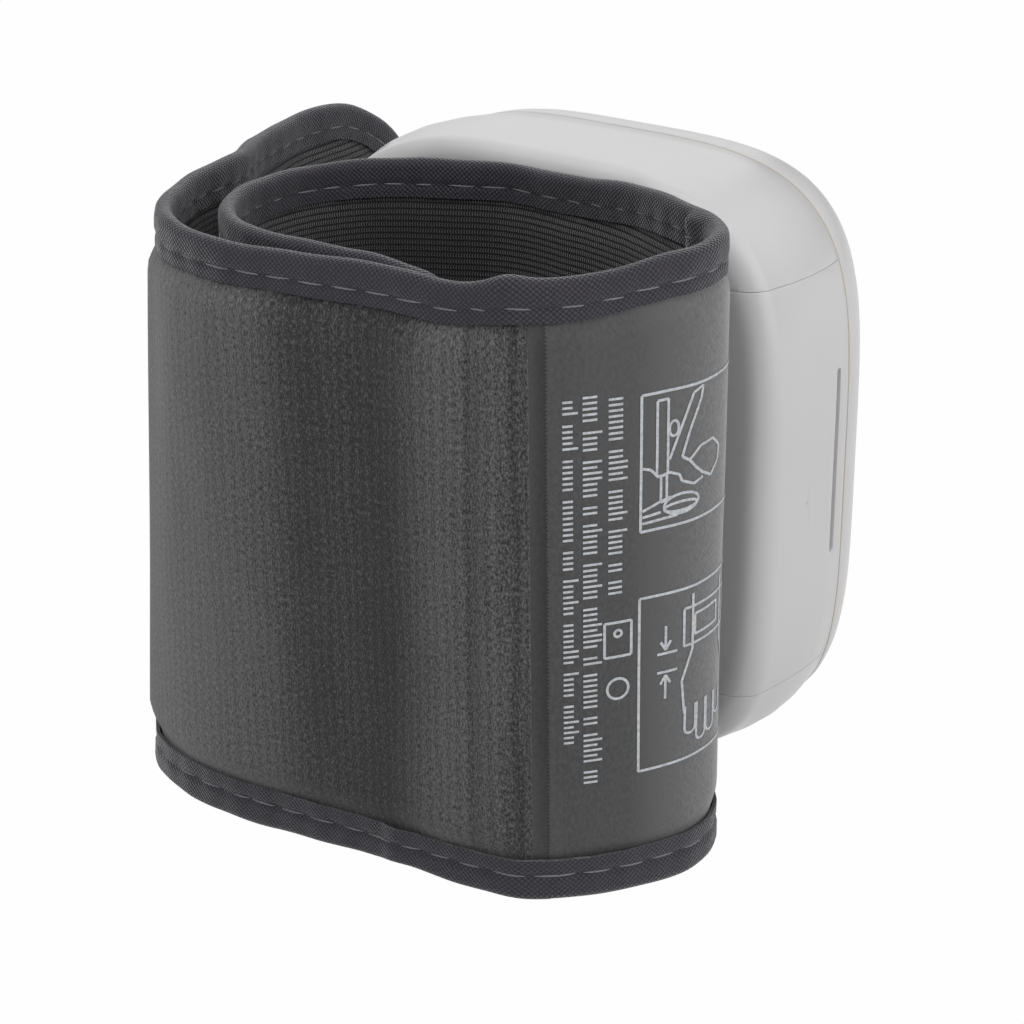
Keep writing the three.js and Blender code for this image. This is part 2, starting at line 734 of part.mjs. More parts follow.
// Case screws, put in from the back
function makeScrew() {
  const head = screwSeatDepth + fitGap;
  const tip = -frontInner + pilotFloor + fitGap;
  const shank = screwShankDiameter / 2;
  const profile = [
    [0, tip],
    [shank / 2, tip],
    [shank, tip + shank],
    [shank, head],
    [screwHeadDiameter / 2, head],
    [screwHeadDiameter / 2, head + screwHeadHeight],
    [0, head + screwHeadHeight],
  ];
  return new THREE.LatheGeometry(profile.map(([r, y]) => new THREE.Vector2(r, y)), 12);
}
screwPlaces.forEach(([x, z], index) => {
  addPart(housing, `case_screw_${index + 1}`, makeScrew(), steel, 0.3, 1).position.set(x, 0, z);
});

// The cuff strip in plan: a loop seen along the wrist, from its inner end round to the seam, then the flap
const fixedLayers = [outerPanelThickness, stiffenerThickness, bladderThickness, liningThickness];
const fixedThickness = fixedLayers.reduce((sum, thickness) => sum + thickness + layerGap, -layerGap);
const flapThickness = loopPileThickness + flapLiningThickness + layerGap;
const tapeStand = tapeGap + tapeThickness;
const panelStand = 3 * fitGap + mountPlateThickness;
const seatOffset = Math.max(panelStand, fitGap + tapeStand) + fixedThickness / 2;
const loopRightX = -caseSide - cuffOverhang;
const seatBaseY = cradleY(0, seatOffset);

// A point of the loop: across is 0 at the battery side and 1 at the far side,
// and depth is 0 at the case and 1 in front.
function loopPoint(across, depth) {
  return new THREE.Vector3(loopRightX + across * wristWidth, seatBaseY + depth * wristDepth, 0);
}

function seatPoint(x) {
  return new THREE.Vector3(x, cradleY(x, seatOffset), 0);
}

const plateEdgeX = mountPlateEdgeX();
const plateFarX = plateEdgeX - mountPlateWidth;
const fixedPath = new THREE.CatmullRomCurve3(
  [
    loopPoint(0.345, 0.915),
    loopPoint(0.633, 0.978),
    loopPoint(0.77, 0.985),
    loopPoint(0.888, 0.92),
    loopPoint(0.975, 0.765),
    loopPoint(1, 0.582),
    loopPoint(0.975, 0.395),
    loopPoint(0.9, 0.23),
    loopPoint(0.782, 0.108),
    seatPoint(plateEdgeX),
    seatPoint((plateEdgeX + plateFarX) / 2),
    seatPoint(plateFarX),
    loopPoint(0.175, 0.17),
    loopPoint(0.07, 0.28),
    loopPoint(0.012, 0.41),
    loopPoint(0, 0.542),
    loopPoint(0.024, 0.675),
    loopPoint(0.068, 0.812),
    loopPoint(0.112, 0.918),
    loopPoint(0.16, 0.975),
    loopPoint(0.216, 1),
  ],
  false,
  "centripetal",
);
const seam = fixedPath.getPoint(1);
const flushShift = (fixedThickness - flapThickness) / 2;
const tailX = caseSide + 2 * fitGap + hookThickness + flapThickness / 2 + tapeStand;
const tailEndY = -frontDepth - tailPastFront;
const flapPath = new THREE.CatmullRomCurve3(
  [
    new THREE.Vector3(seam.x, seam.y + flushShift, 0),
    loopPoint(0.3, 1.034),
    loopPoint(0.4, 1.046),
    loopPoint(0.633, 1.106),
    loopPoint(0.77, 1.128),
    loopPoint(0.905, 1.09),
    loopPoint(1.024, 0.955),
    loopPoint(1.097, 0.702),
    loopPoint(1.142, 0.409),
    ...tailBends.map((bend) => new THREE.Vector3(tailX - bend.in, cradleDepth + bend.beyond, 0)),
    new THREE.Vector3(tailX, tailEndY, 0),
  ],
  false,
  "centripetal",
);

function strapPlace(path, distance, offset, z) {
  const length = path.getLength();
  const share = THREE.MathUtils.clamp(distance / length, 0, 1);
  const tangent = path.getTangentAt(share);
  const point = path.getPointAt(share);
  return new THREE.Vector3(point.x - tangent.y * offset, point.y + tangent.x * offset, z);
}

function evenSteps(from, to, pitch) {
  const count = Math.max(1, Math.round(Math.abs(to - from) / pitch));
  return Array.from({ length: count + 1 }, (_, i) => from + ((to - from) * i) / count);
}

// A layer of the strip between two offsets from its middle, with its height given along its length.
function layer(path, stations, inner, outer, heightAt) {
  const rings = stations.map((distance) => {
    const [low, high] = heightAt(distance);
    return [
      strapPlace(path, distance, outer, low),
      strapPlace(path, distance, outer, high),
      strapPlace(path, distance, inner, high),
      strapPlace(path, distance, inner, low),
    ];
  });
  return skin(rings, fanCover(4));
}

const hemInset = tapeThickness + fitGap;
const roundSteps = [0, 0.18, 0.36, 0.54, 0.72, 0.88, 1].map((share) => (share * Math.PI) / 2);

// The height of a strip whose end has round corners, at a distance from that end.
function roundEndHeight(fromEnd, radius) {
  const inside = radius - hemInset;
  const into = Math.max(0, Math.min(inside, fromEnd - hemInset));
  const drop = inside - Math.sqrt(inside * inside - (inside - into) ** 2);
  return [hemInset + drop, cuffHeight - hemInset - drop];
}

// Distances from a round end where its outline is drawn.
function roundEndSteps(radius) {
  const inside = radius - hemInset;
  return roundSteps.map((angle) => hemInset + inside * (1 - Math.cos(angle)));
}

// The edge of a strip from its seam to the middle of its round end: distance, height and the way inwards.
function hemEdge(seamAt, endAt, radius, upper, pitch) {
  const way = Math.sign(endAt - seamAt);
  const flip = upper ? 1 : -1;
  const zOf = (fromTop) => (upper ? cuffHeight - fromTop : fromTop);
  const straight = evenSteps(seamAt, endAt - way * radius, pitch);
  const edge = straight.map((distance) => [distance, zOf(0), 0, -flip]);
  for (const angle of roundSteps.slice(1)) {
    const distance = endAt - way * radius * (1 - Math.sin(angle));
    const z = zOf(radius * (1 - Math.cos(angle)));
    edge.push([distance, z, -way * Math.sin(angle), -flip * Math.cos(angle)]);
  }
  edge.push([endAt, zOf(cuffHeight / 2 - fitGap / 2), -way, 0]);
  return edge;
}

// Folded tape over an edge of the strip.
function binding(path, edge, thickness) {
  const inner = thickness / 2 + tapeGap;
  const outer = inner + tapeThickness;
  const section = [
    [0, -outer],
    [hemWidth, -outer],
    [hemWidth, -inner],
    [tapeThickness, -inner],
    [tapeThickness, inner],
    [hemWidth, inner],
    [hemWidth, outer],
    [0, outer],
  ];
  const rings = edge.map(([distance, z, alongIn, upIn]) =>
    section.map(([depth, offset]) => strapPlace(path, distance + depth * alongIn, offset, z + depth * upIn)),
  );
  const flat = section.map(([depth, offset]) => new THREE.Vector2(depth, offset));
  return skin(rings, THREE.ShapeUtils.triangulateShape(flat, []));
}

const strapPitch = 4.2;
const fixedLength = fixedPath.getLength();
const flapLength = flapPath.getLength();
const fixedSeamAt = fixedLength - seamGap / 2;
const flapSeamAt = seamGap / 2;
const fixedStations = [
  ...roundEndSteps(innerEndRound),
  ...evenSteps(innerEndRound, fixedSeamAt, strapPitch).slice(1),
];
const flapStations = [
  ...evenSteps(flapSeamAt, flapLength - tailEndRound, strapPitch).slice(0, -1),
  ...roundEndSteps(tailEndRound).map((fromEnd) => flapLength - fromEnd).reverse(),
];
const fixedHeight = (distance) => roundEndHeight(distance, innerEndRound);
const flapHeight = (distance) => roundEndHeight(flapLength - distance, tailEndRound);
const innerHeight = () => [bladderMargin, cuffHeight - bladderMargin];

const outerFace = fixedThickness / 2;
const stiffenerFace = outerFace - outerPanelThickness - layerGap;
const bladderFace = stiffenerFace - stiffenerThickness - layerGap;
const liningFace = bladderFace - bladderThickness - layerGap;
const nippleRoom = nippleStemDiameter / 2 + fitGap;
const nippleEnd = cradleY(valveX, seatOffset);
const nippleHole = solidOf(rodY(nippleRoom, valveX, caseMiddleZ + manifoldZ, cradleDepth / 2, nippleEnd));

const outerPanel = layer(fixedPath, fixedStations, outerFace - outerPanelThickness, outerFace, fixedHeight);
addPart(cuff, "cuff_outer_panel", geometryOf(solidOf(outerPanel).subtract(nippleHole)), cuffGrey, 0.8);

const innerStations = evenSteps(bladderMargin, fixedSeamAt - bladderMargin, strapPitch);
const stiffenerBack = stiffenerFace - stiffenerThickness;
const stiffener = layer(fixedPath, innerStations, stiffenerBack, stiffenerFace, innerHeight);
addPart(cuff, "cuff_stiffener", geometryOf(solidOf(stiffener).subtract(nippleHole)), 0xc9c9c4, 0.5);

const bladderEnd = fixedSeamAt - wristDepth;
const bladderStations = evenSteps(bladderMargin, bladderEnd, strapPitch);
const bladder = layer(fixedPath, bladderStations, bladderFace - bladderThickness, bladderFace, innerHeight);
addPart(cuff, "air_bladder", bladder, 0x8d9094, 0.5);

const lining = layer(fixedPath, fixedStations, liningFace - liningThickness, liningFace, fixedHeight);
addPart(cuff, "cuff_lining", lining, knitBlack, 0.95);

const flapFace = flapThickness / 2;
const pile = layer(flapPath, flapStations, flapFace - loopPileThickness, flapFace, flapHeight);
addPart(cuff, "flap_loop_panel", pile, pileGrey, 1);
const flapLining = layer(flapPath, flapStations, -flapFace, -flapFace + flapLiningThickness, flapHeight);
addPart(cuff, "flap_lining", flapLining, knitBlack, 0.95);

for (const upper of [true, false]) {
  const level = upper ? "top" : "bottom";
  const fixedEdge = hemEdge(fixedSeamAt, 0, innerEndRound, upper, strapPitch);
  addPart(cuff, `cuff_binding_${level}`, binding(fixedPath, fixedEdge, fixedThickness), tapeGrey, 0.7);
  const flapEdge = hemEdge(flapSeamAt, flapLength, tailEndRound, upper, strapPitch);
  addPart(cuff, `flap_binding_${level}`, binding(flapPath, flapEdge, flapThickness), tapeGrey, 0.7);
}

const hookEnd = flapLength - hemWidth - fitGap;
const hookStations = evenSteps(hookEnd - hookLength, hookEnd, strapPitch);
const hookFace = -flapFace - fitGap;
const hookLow = tailEndRound + hookFromRound;
const hookHeight = () => [hookLow, cuffHeight - hookLow];
const hookLayer = layer(flapPath, hookStations, hookFace - hookThickness, hookFace, hookHeight);
addPart(cuff, "hook_patch", hookLayer, black, 1);

// Mount plate between the case's hollow back and the cuff, with two lugs that snap through the back
function makeMountPlate() {
  const columns = evenSteps(plateFarX, plateEdgeX, strapPitch);
  const low = fitGap;
  const high = fitGap + mountPlateThickness;
  const halfHeight = mountPlateHeight / 2;
  const rings = columns.map((x) => [
    new THREE.Vector3(x, cradleY(x, low), -halfHeight),
    new THREE.Vector3(x, cradleY(x, low), halfHeight),
    new THREE.Vector3(x, cradleY(x, high), halfHeight),
    new THREE.Vector3(x, cradleY(x, high), -halfHeight),
  ]);
  let plate = solidOf(skin(rings, fanCover(4)));
  for (const lug of lugPlaces()) {
    const inside = cradleY(lug.x - lugWidth / 2) - wall;
    const side = lug.x - lugWidth / 2;
    const far = lug.x + lugWidth / 2;
    const lower = lug.z - lugThickness / 2;
    const upper = lug.z + lugThickness / 2;
    const hookTop = inside - 2 * fitGap;
    const foot = [side, hookTop - lugHook, lower];
    const stem = block(foot, [far, cradleY(side, high - layerGap), upper]);
    const hook = block(foot, [far, hookTop, upper + lugHook]);
    plate = joined(plate, solidOf(stem), solidOf(hook));
  }
  const hole = rodY(nippleRoom, valveX, manifoldZ, cradleDepth / 2, nippleEnd);
  return plate.subtract(solidOf(hole));
}
addPart(housing, "cuff_mount_plate", geometryOf(makeMountPlate()), 0xcfcfca, 0.5);

// Nipple that carries the air from the hose through the back into the bladder
const bladderY = cradleY(valveX, seatOffset - bladderFace);
const nippleProfile = [
  [nippleBore / 2, nippleStart],
  [stub, nippleStart],
  [stub, nippleShoulder],
  [nippleFlangeDiameter / 2, nippleShoulder],
  [nippleFlangeDiameter / 2, nippleShoulder + nippleFlangeHeight],
  [nippleStemDiameter / 2, nippleShoulder + nippleFlangeHeight],
  [nippleStemDiameter / 2, bladderY - fitGap],
  [nippleBore / 2, bladderY - fitGap],
  [nippleBore / 2, nippleStart],
].map(([r, y]) => new THREE.Vector2(r, y));
const nippleShape = new THREE.LatheGeometry(nippleProfile, 14);
const nipple = addPart(housing, "cuff_nipple", nippleShape, siliconeWhite, 0.4);
nipple.position.set(valveX, 0, manifoldZ);

// The monitor stands with the middle of its box over the origin.
const monitor = new THREE.Group();
monitor.add(housing, cuff);
monitor.updateMatrixWorld(true);
const box = new THREE.Box3().setFromObject(monitor, true);
monitor.position.set(-(box.min.x + box.max.x) / 2, -(box.min.y + box.max.y) / 2, -box.min.z);

const part = new THREE.Group();
part.add(monitor);
console.log(`part box ${box.getSize(new THREE.Vector3()).toArray().map((n) => n.toFixed(2))} mm`);
const place = monitor.position.toArray().map((n) => n.toFixed(3));
const hingeAt = strapPlace(flapPath, 0, flapThickness / 2 + tapeStand, 0).add(monitor.position);
const hingePlace = hingeAt.toArray().map((n) => n.toFixed(3));
console.log(`case centre plane at ${place}, seam hinge at ${hingePlace}`);

export default part;
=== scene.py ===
import bisect
import math
import random

import bmesh
import bpy
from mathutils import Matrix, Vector
from mathutils.kdtree import KDTree


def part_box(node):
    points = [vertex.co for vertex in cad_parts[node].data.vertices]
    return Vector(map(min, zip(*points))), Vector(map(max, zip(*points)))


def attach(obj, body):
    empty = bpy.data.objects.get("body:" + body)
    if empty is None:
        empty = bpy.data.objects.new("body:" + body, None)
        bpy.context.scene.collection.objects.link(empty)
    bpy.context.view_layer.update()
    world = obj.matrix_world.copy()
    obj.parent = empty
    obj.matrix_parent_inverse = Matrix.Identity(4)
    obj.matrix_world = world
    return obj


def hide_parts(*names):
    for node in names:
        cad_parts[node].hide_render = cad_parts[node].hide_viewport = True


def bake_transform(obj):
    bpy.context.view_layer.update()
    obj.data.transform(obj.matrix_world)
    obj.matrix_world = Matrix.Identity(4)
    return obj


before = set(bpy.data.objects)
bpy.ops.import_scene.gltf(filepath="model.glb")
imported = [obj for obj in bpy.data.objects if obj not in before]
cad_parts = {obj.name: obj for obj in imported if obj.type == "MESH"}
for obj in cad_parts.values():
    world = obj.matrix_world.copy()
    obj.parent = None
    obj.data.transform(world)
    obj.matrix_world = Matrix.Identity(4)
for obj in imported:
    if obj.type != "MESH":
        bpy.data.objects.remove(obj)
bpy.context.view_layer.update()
mm = 0.001
dice = random.Random(41)

# the case's middle and its parting plane, from the frame
frontLow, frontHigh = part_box("front_case")
caseMid = Vector(((frontLow.x + frontHigh.x) / 2, frontHigh.y + 0.15 * mm, (frontLow.z + frontHigh.z) / 2))
print("frame loaded, case middle at", [round(v, 5) for v in caseMid])


# camera, light and floor come first
studio = {
    "cameraPlace": (-180.3, 258.1, 150.6),  # mm from the case's middle line, parting plane and floor
    "cameraLook": (0.55645, -0.73843, -0.38091),
    "lens": 92.8125,
    "floorColour": (0.55, 0.55, 0.55),
    "floorWhite": 0.985,  # how much of the floor is plain white to the camera
    "worldColour": (1.0, 0.995, 0.99, 1),
    "worldStrength": 0.3,
    "aim": (0, 25, 36),
    # place, size in metres and watts of each soft box
    "lights": {
        "keyLight": ((40, 120, 470), (0.5, 0.4), 0.78),
        "fillLight": ((-420, 10, 170), (0.4, 0.5), 1.12),
        "edgeLight": ((-70, 330, 300), (0.1, 0.1), 0.28),
        "rimLight": ((260, -240, 260), (0.4, 0.4), 0.38),
    },
}


def onPart(x, y, z):
    # mm on the case's own axes, with z from the floor, to metres in the frame
    return Vector((caseMid.x + x * mm, caseMid.y + y * mm, z * mm))


def clearSelection():
    if bpy.context.object and bpy.context.object.mode != "OBJECT":
        bpy.ops.object.mode_set(mode="OBJECT")
    bpy.ops.object.select_all(action="DESELECT")


def makeActive(piece):
    clearSelection()
    piece.select_set(True)
    bpy.context.view_layer.objects.active = piece


def applyModifiers(piece):
    makeActive(piece)
    for modifier in list(piece.modifiers):
        bpy.ops.object.modifier_apply(modifier=modifier.name)


def applyPlace():
    bpy.ops.object.transform_apply(location=True, rotation=True, scale=True)


def smooth(piece, degrees=38):
    makeActive(piece)
    bpy.ops.object.shade_smooth_by_angle(angle=math.radians(degrees))


def thicken(piece, thickness, offset=-1):
    modifier = piece.modifiers.new("thicken", "SOLIDIFY")
    modifier.thickness = thickness * mm
    modifier.offset = offset
    applyModifiers(piece)


def faceOutwards(piece):
    makeActive(piece)
    bpy.ops.object.mode_set(mode="EDIT")
    bpy.ops.mesh.select_all(action="SELECT")
    bpy.ops.mesh.normals_make_consistent(inside=False)
    bpy.ops.object.mode_set(mode="OBJECT")


def joined(pieces, name):
    clearSelection()
    for piece in pieces:
        piece.select_set(True)
    bpy.context.view_layer.objects.active = pieces[0]
    bpy.ops.object.join()
    whole = bpy.context.object
    whole.name = name
    return whole


def ease(value, low, high):
    share = min(1.0, max(0.0, (value - low) / (high - low)))
    return share * share * (3 - 2 * share)


def hump(value, middle, width):
    return math.exp(-((value - middle) / width) ** 2)


def pairs(line):
    return zip(line, line[1:])


# shader maths
class Wire:
    def __init__(self, finish, socket):
        self.finish = finish
        self.socket = socket

    def maths(self, operation, other=0.0, swapped=False):
        first, second = (other, self) if swapped else (self, other)
        return self.finish.node("ShaderNodeMath", {"operation": operation}, {0: first, 1: second})

    def __add__(self, other):
        return self.maths("ADD", other)

    __radd__ = __add__

    def __sub__(self, other):
        return self.maths("SUBTRACT", other)

    def __rsub__(self, other):
        return self.maths("SUBTRACT", other, True)

    def __mul__(self, other):
        return self.maths("MULTIPLY", other)

    __rmul__ = __mul__

    def __truediv__(self, other):
        return self.maths("DIVIDE", other)

    def __rtruediv__(self, other):
        return self.maths("DIVIDE", other, True)

    def __gt__(self, other):
        return self.maths("GREATER_THAN", other)

    def __lt__(self, other):
        return self.maths("LESS_THAN", other)

    def __abs__(self):
        return self.maths("ABSOLUTE")

    def sine(self):
        return self.maths("SINE")

    def limited(self):
        return self.finish.node("ShaderNodeClamp", {}, {"Value": self}, "Result")


class Finish:
    def __init__(self, name, colour, roughness, **constants):
        self.material = bpy.data.materials.new(name)
        self.material.use_nodes = True
        self.tree = self.material.node_tree
        self.shader = self.tree.nodes["Principled BSDF"]
        self.shader.inputs["Base Color"].default_value = (*colour, 1)
        self.shader.inputs["Roughness"].default_value = roughness
        for socket, value in constants.items():
            self.shader.inputs[socket.replace("_", " ")].default_value = value

    def node(self, kind, settings, sockets, output=0):
        made = self.tree.nodes.new(kind)
        for key, value in settings.items():
            setattr(made, key, value)
        for key, value in sockets.items():
            if isinstance(value, Wire):
                self.tree.links.new(value.socket, made.inputs[key])
            else:
                made.inputs[key].default_value = value
        return Wire(self, made.outputs[output])

    def place(self):
        return self.node("ShaderNodeTexCoord", {}, {}, "Object")

    def cloth(self):
        # the cloth's own map: metres along the strip and across it
        return self.node("ShaderNodeUVMap", {"uv_map": "cloth"}, {}, "UV")

    def parts(self, vector):
        return [self.node("ShaderNodeSeparateXYZ", {}, {"Vector": vector}, axis) for axis in "XYZ"]

    def scaled(self, vector, scale):
        return self.node("ShaderNodeMapping", {}, {"Vector": vector, "Scale": scale}, "Vector")

    def clothNoise(self, vector, along, across, detail, roughness=0.5):
        return self.noise(self.scaled(vector, (along, across, 1)), 1.0, detail, roughness)

    def noise(self, vector, scale, detail=2.0, roughness=0.5):
        sockets = {"Vector": vector, "Scale": scale, "Detail": detail, "Roughness": roughness}
        return self.node("ShaderNodeTexNoise", {}, sockets, "Fac")

    def cells(self, vector, scale):
        return self.node("ShaderNodeTexVoronoi", {}, {"Vector": vector, "Scale": scale}, "Distance")

    def between(self, wire, low, high):
        sockets = {"Value": wire, "From Min": low, "From Max": high}
        return self.node("ShaderNodeMapRange", {}, sockets, "Result")

    def mixed(self, share, first, second):
        settings = {"data_type": "RGBA"}
        first = first if isinstance(first, Wire) else (*first, 1)
        second = second if isinstance(second, Wire) else (*second, 1)
        return self.node("ShaderNodeMix", settings, {0: share, 6: first, 7: second}, 2)

    def drive(self, socket, wire):
        self.tree.links.new(wire.socket, self.shader.inputs[socket])

    def paint(self, share, first, second):
        self.drive("Base Color", self.mixed(share, first, second))

    def bump(self, height, strength, depth):
        sockets = {"Height": height, "Strength": strength, "Distance": depth}
        self.drive("Normal", self.node("ShaderNodeBump", {}, sockets, "Normal"))

    def on(self, piece):
        piece.data.materials.clear()
        piece.data.materials.append(self.material)
        return piece


def makeStudio():
    scene = bpy.context.scene
    scene.view_settings.view_transform = "Standard"
    cameraData = bpy.data.cameras.new("photoCamera")
    cameraData.sensor_width = 36
    cameraData.lens = studio["lens"]
    cameraData.clip_start = 0.01
    cameraData.clip_end = 20
    camera = bpy.data.objects.new("photoCamera", cameraData)
    scene.collection.objects.link(camera)
    camera.location = onPart(*studio["cameraPlace"])
    camera.rotation_mode = "QUATERNION"
    camera.rotation_quaternion = Vector(studio["cameraLook"]).to_track_quat("-Z", "Y")
    scene.camera = camera

    clearSelection()
    bpy.ops.mesh.primitive_plane_add(size=6, location=(0, 0, 0))
    floor = bpy.context.object
    floor.name = "studioFloor"
    bpy.ops.object.mode_set(mode="EDIT")
    bpy.ops.mesh.subdivide(number_cuts=3)
    bpy.ops.object.mode_set(mode="OBJECT")
    paper = Finish("studioPaper", studio["floorColour"], 0.9)
    kinds = ("Is Camera Ray", "Is Glossy Ray", "Is Transmission Ray")
    rays = [paper.node("ShaderNodeLightPath", {}, {}, kind) for kind in kinds]
    seen = rays[0] + rays[1] + rays[2]
    share = seen.limited() * studio["floorWhite"]
    glow = paper.node("ShaderNodeEmission", {}, {"Color": (1, 1, 1, 1), "Strength": 1.0}, "Emission")
    matt = Wire(paper, paper.shader.outputs["BSDF"])
    mixed = paper.node("ShaderNodeMixShader", {}, {0: share, 1: matt, 2: glow}, "Shader")
    output = paper.tree.nodes["Material Output"]
    paper.tree.links.new(mixed.socket, output.inputs["Surface"])
    paper.on(floor)

    world = bpy.data.worlds.new("studioAir")
    scene.world = world
    world.use_nodes = True
    background = world.node_tree.nodes["Background"]
    background.inputs["Color"].default_value = studio["worldColour"]
    background.inputs["Strength"].default_value = studio["worldStrength"]

    for name, (place, size, watts) in studio["lights"].items():
        data = bpy.data.lights.new(name, "AREA")
        data.shape = "RECTANGLE"
        data.size, data.size_y = size
        data.energy = watts
        lamp = bpy.data.objects.new(name, data)
        scene.collection.objects.link(lamp)
        lamp.location = onPart(*place)
        lamp.rotation_mode = "QUATERNION"
        lamp.rotation_quaternion = (onPart(*studio["aim"]) - lamp.location).to_track_quat("-Z", "Y")


makeStudio()
print("camera, light and floor ready")


# finishes of the case and what it holds
def casePlastic():
    finish = Finish("casePlastic", (0.66, 0.657, 0.664), 0.36, IOR=1.5, Specular_IOR_Level=0.5)
    spot = finish.place()
    broad = finish.noise(spot, 45, 3)
    grain = finish.noise(spot, 5200, 2)
    finish.paint(finish.between(broad, 0.35, 0.7), (0.61, 0.606, 0.612), (0.64, 0.636, 0.642))
    finish.drive("Roughness", 0.24 + grain * 0.1 + broad * 0.04)
    finish.bump(grain, 0.12, 0.00004)
    return finish


def plainPlastic(name, colour, roughness, grainScale=3500, depth=0.00003):
    finish = Finish(name, colour, roughness)
    spot = finish.place()
    broad = finish.noise(spot, 90, 3)
    grain = finish.noise(spot, grainScale, 2)
    darker = tuple(0.86 * c for c in colour)
    finish.paint(finish.between(broad, 0.3, 0.75), darker, colour)
    finish.drive("Roughness", roughness - 0.05 + grain * 0.1)
    finish.bump(grain, 0.2, depth)
    return finish


def brightSteel():
    finish = Finish("brightSteel", (0.68, 0.69, 0.71), 0.28, Metallic=1.0)
    spot = finish.place()
    drawn = finish.noise(finish.scaled(spot, (900, 900, 9000)), 1.0, 3)
    stain = finish.noise(spot, 160, 3)
    finish.paint(finish.between(stain, 0.35, 0.8), (0.7, 0.71, 0.73), (0.52, 0.52, 0.53))
    finish.drive("Roughness", 0.18 + drawn * 0.22)
    return finish


def circuitBoard():
    finish = Finish("circuitBoard", (0.03, 0.16, 0.08), 0.35, Coat_Weight=0.3)
    x, y, z = finish.parts(finish.place())
    lanes = abs((x * 620).sine()) * abs((z * 540).sine())
    finish.paint(lanes > 0.72, (0.025, 0.14, 0.07), (0.06, 0.27, 0.13))
    finish.drive("Roughness", 0.3 + lanes * 0.15)
    return finish


def cellWrap():
    finish = Finish("cellWrap", (0.05, 0.12, 0.28), 0.3)
    x, y, z = finish.parts(finish.place())
    band = (abs(z - 0.036) > 0.017) * (abs(z - 0.036) < 0.0235)
    speck = finish.noise(finish.place(), 2400, 2)
    finish.paint(band, (0.045, 0.11, 0.27), (0.55, 0.56, 0.58))
    finish.drive("Roughness", 0.24 + speck * 0.12)
    return finish


def clearWindow():
    finish = Finish("clearWindow", (0.93, 0.95, 0.95), 0.04, IOR=1.49, Transmission_Weight=1.0)
    dust = finish.noise(finish.place(), 700, 2)
    finish.drive("Roughness", 0.03 + dust * 0.05)
    return finish


def lcdGlass():
    finish = Finish("lcdGlass", (0.42, 0.46, 0.38), 0.25)
    x, y, z = finish.parts(finish.place())
    wash = finish.noise(finish.place(), 60, 2)
    grid = abs((x * 5200).sine()) * abs((z * 5200).sine())
    finish.paint(wash, (0.39, 0.43, 0.35), (0.45, 0.49, 0.41))
    finish.drive("Roughness", 0.22 + grid * 0.08)
    return finish


def bandedRubber():
    finish = Finish("bandedRubber", (0.3, 0.31, 0.33), 0.7)
    x, y, z = finish.parts(finish.place())
    bands = (z * 9000).sine()
    finish.paint(bands > 0, (0.06, 0.06, 0.065), (0.42, 0.43, 0.45))
    return finish


finishes = {
    "case": casePlastic(),
    "key": plainPlastic("keyGrey", (0.34, 0.36, 0.39), 0.42),
    "keyMark": plainPlastic("keyMark", (0.8, 0.82, 0.84), 0.5),
    "black": plainPlastic("componentBlack", (0.028, 0.028, 0.03), 0.45),
    "rubber": plainPlastic("cradleRubber", (0.05, 0.05, 0.052), 0.8, 1800, 0.00006),
    "silicone": plainPlastic("hoseSilicone", (0.72, 0.72, 0.68), 0.5),
    "fitting": plainPlastic("fittingWhite", (0.66, 0.66, 0.63), 0.45),
    "bead": plainPlastic("partingBead", (0.56, 0.49, 0.37), 0.6),
    "lcdInk": plainPlastic("lcdInk", (0.03, 0.035, 0.035), 0.4),
    "steel": brightSteel(),
    "board": circuitBoard(),
    "cell": cellWrap(),
    "window": clearWindow(),
    "lcd": lcdGlass(),
    "connector": bandedRubber(),
}

carriedOver = {
    "steel": ["pump_motor", "air_valve", "case_screw_1", "case_screw_2", "case_screw_3", "case_screw_4",
              "battery_spring_1", "battery_spring_2", "battery_contact_1", "battery_contact_2"],
    "black": ["start_stop_switch", "memory_switch", "controller_chip", "buzzer", "pressure_sensor",
              "pump_head"],
    "rubber": ["pump_cradle"],
    "silicone": ["air_hose_pump", "air_hose_valve", "air_hose_sensor", "air_hose_cuff"],
    "fitting": ["air_manifold", "cuff_nipple", "cuff_mount_plate"],
    "board": ["main_board"],
    "lcd": ["lcd_panel"],
    "connector": ["lcd_connector_1", "lcd_connector_2"],
}
for finishName, nodeNames in carriedOver.items():
    for nodeName in nodeNames:
        finishes[finishName].on(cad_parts[nodeName])
        smooth(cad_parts[nodeName], 32)
print("carried-over pieces finished")


# the case: front shell, rear shell and battery cover
shell = {
    "left": (31.4, 3.45),  # half width and squareness, on the tail's side
    "right": (35.5, 4.05),  # and on the battery cover's side
    "foot": 4.7,  # squareness of the lower corners
    "fuller": 0.7,  # the rear corners are this much squarer at half depth
    "frontSquarer": 0.05,
    "halfHeight": 35.8,
    "crown": 0.4,  # the top stands this much higher
    "points": 144,
    "wall": 1.8,
    "gap": 0.14,  # half of the parting gap
    "frontDepth": 8.5,
    "frontRound": 9,
    "frontFullness": (0.82, 0.32, 1.4),  # below 1 the front stays upright for longer: its sides, top and foot
    "frontWall": 2.6,
    "frontInnerRound": 7.6,
    "back": (16.6, 17.7),  # the back is flatter than the cradle: least depth, and most depth beside the door
    "backRound": (3.4, 2.2, 3.4),  # its edge at the sides, the top and the foot
    "backSides": (22, 34),  # the sides' rounding takes over between these
    "backShares": (0.14, 0.3, 0.45, 0.6, 0.75, 0.88, 0.96),  # rings from the edge to the middle
    "cradleDepth": 15.1,
    "cradleRadius": 70,
    "softEdge": 0.12,
    "well": (2.5, 30, 13.5),  # over each screw: radius, length and middle above the screw
    "beyond": 60,  # cutters reach past the case
}
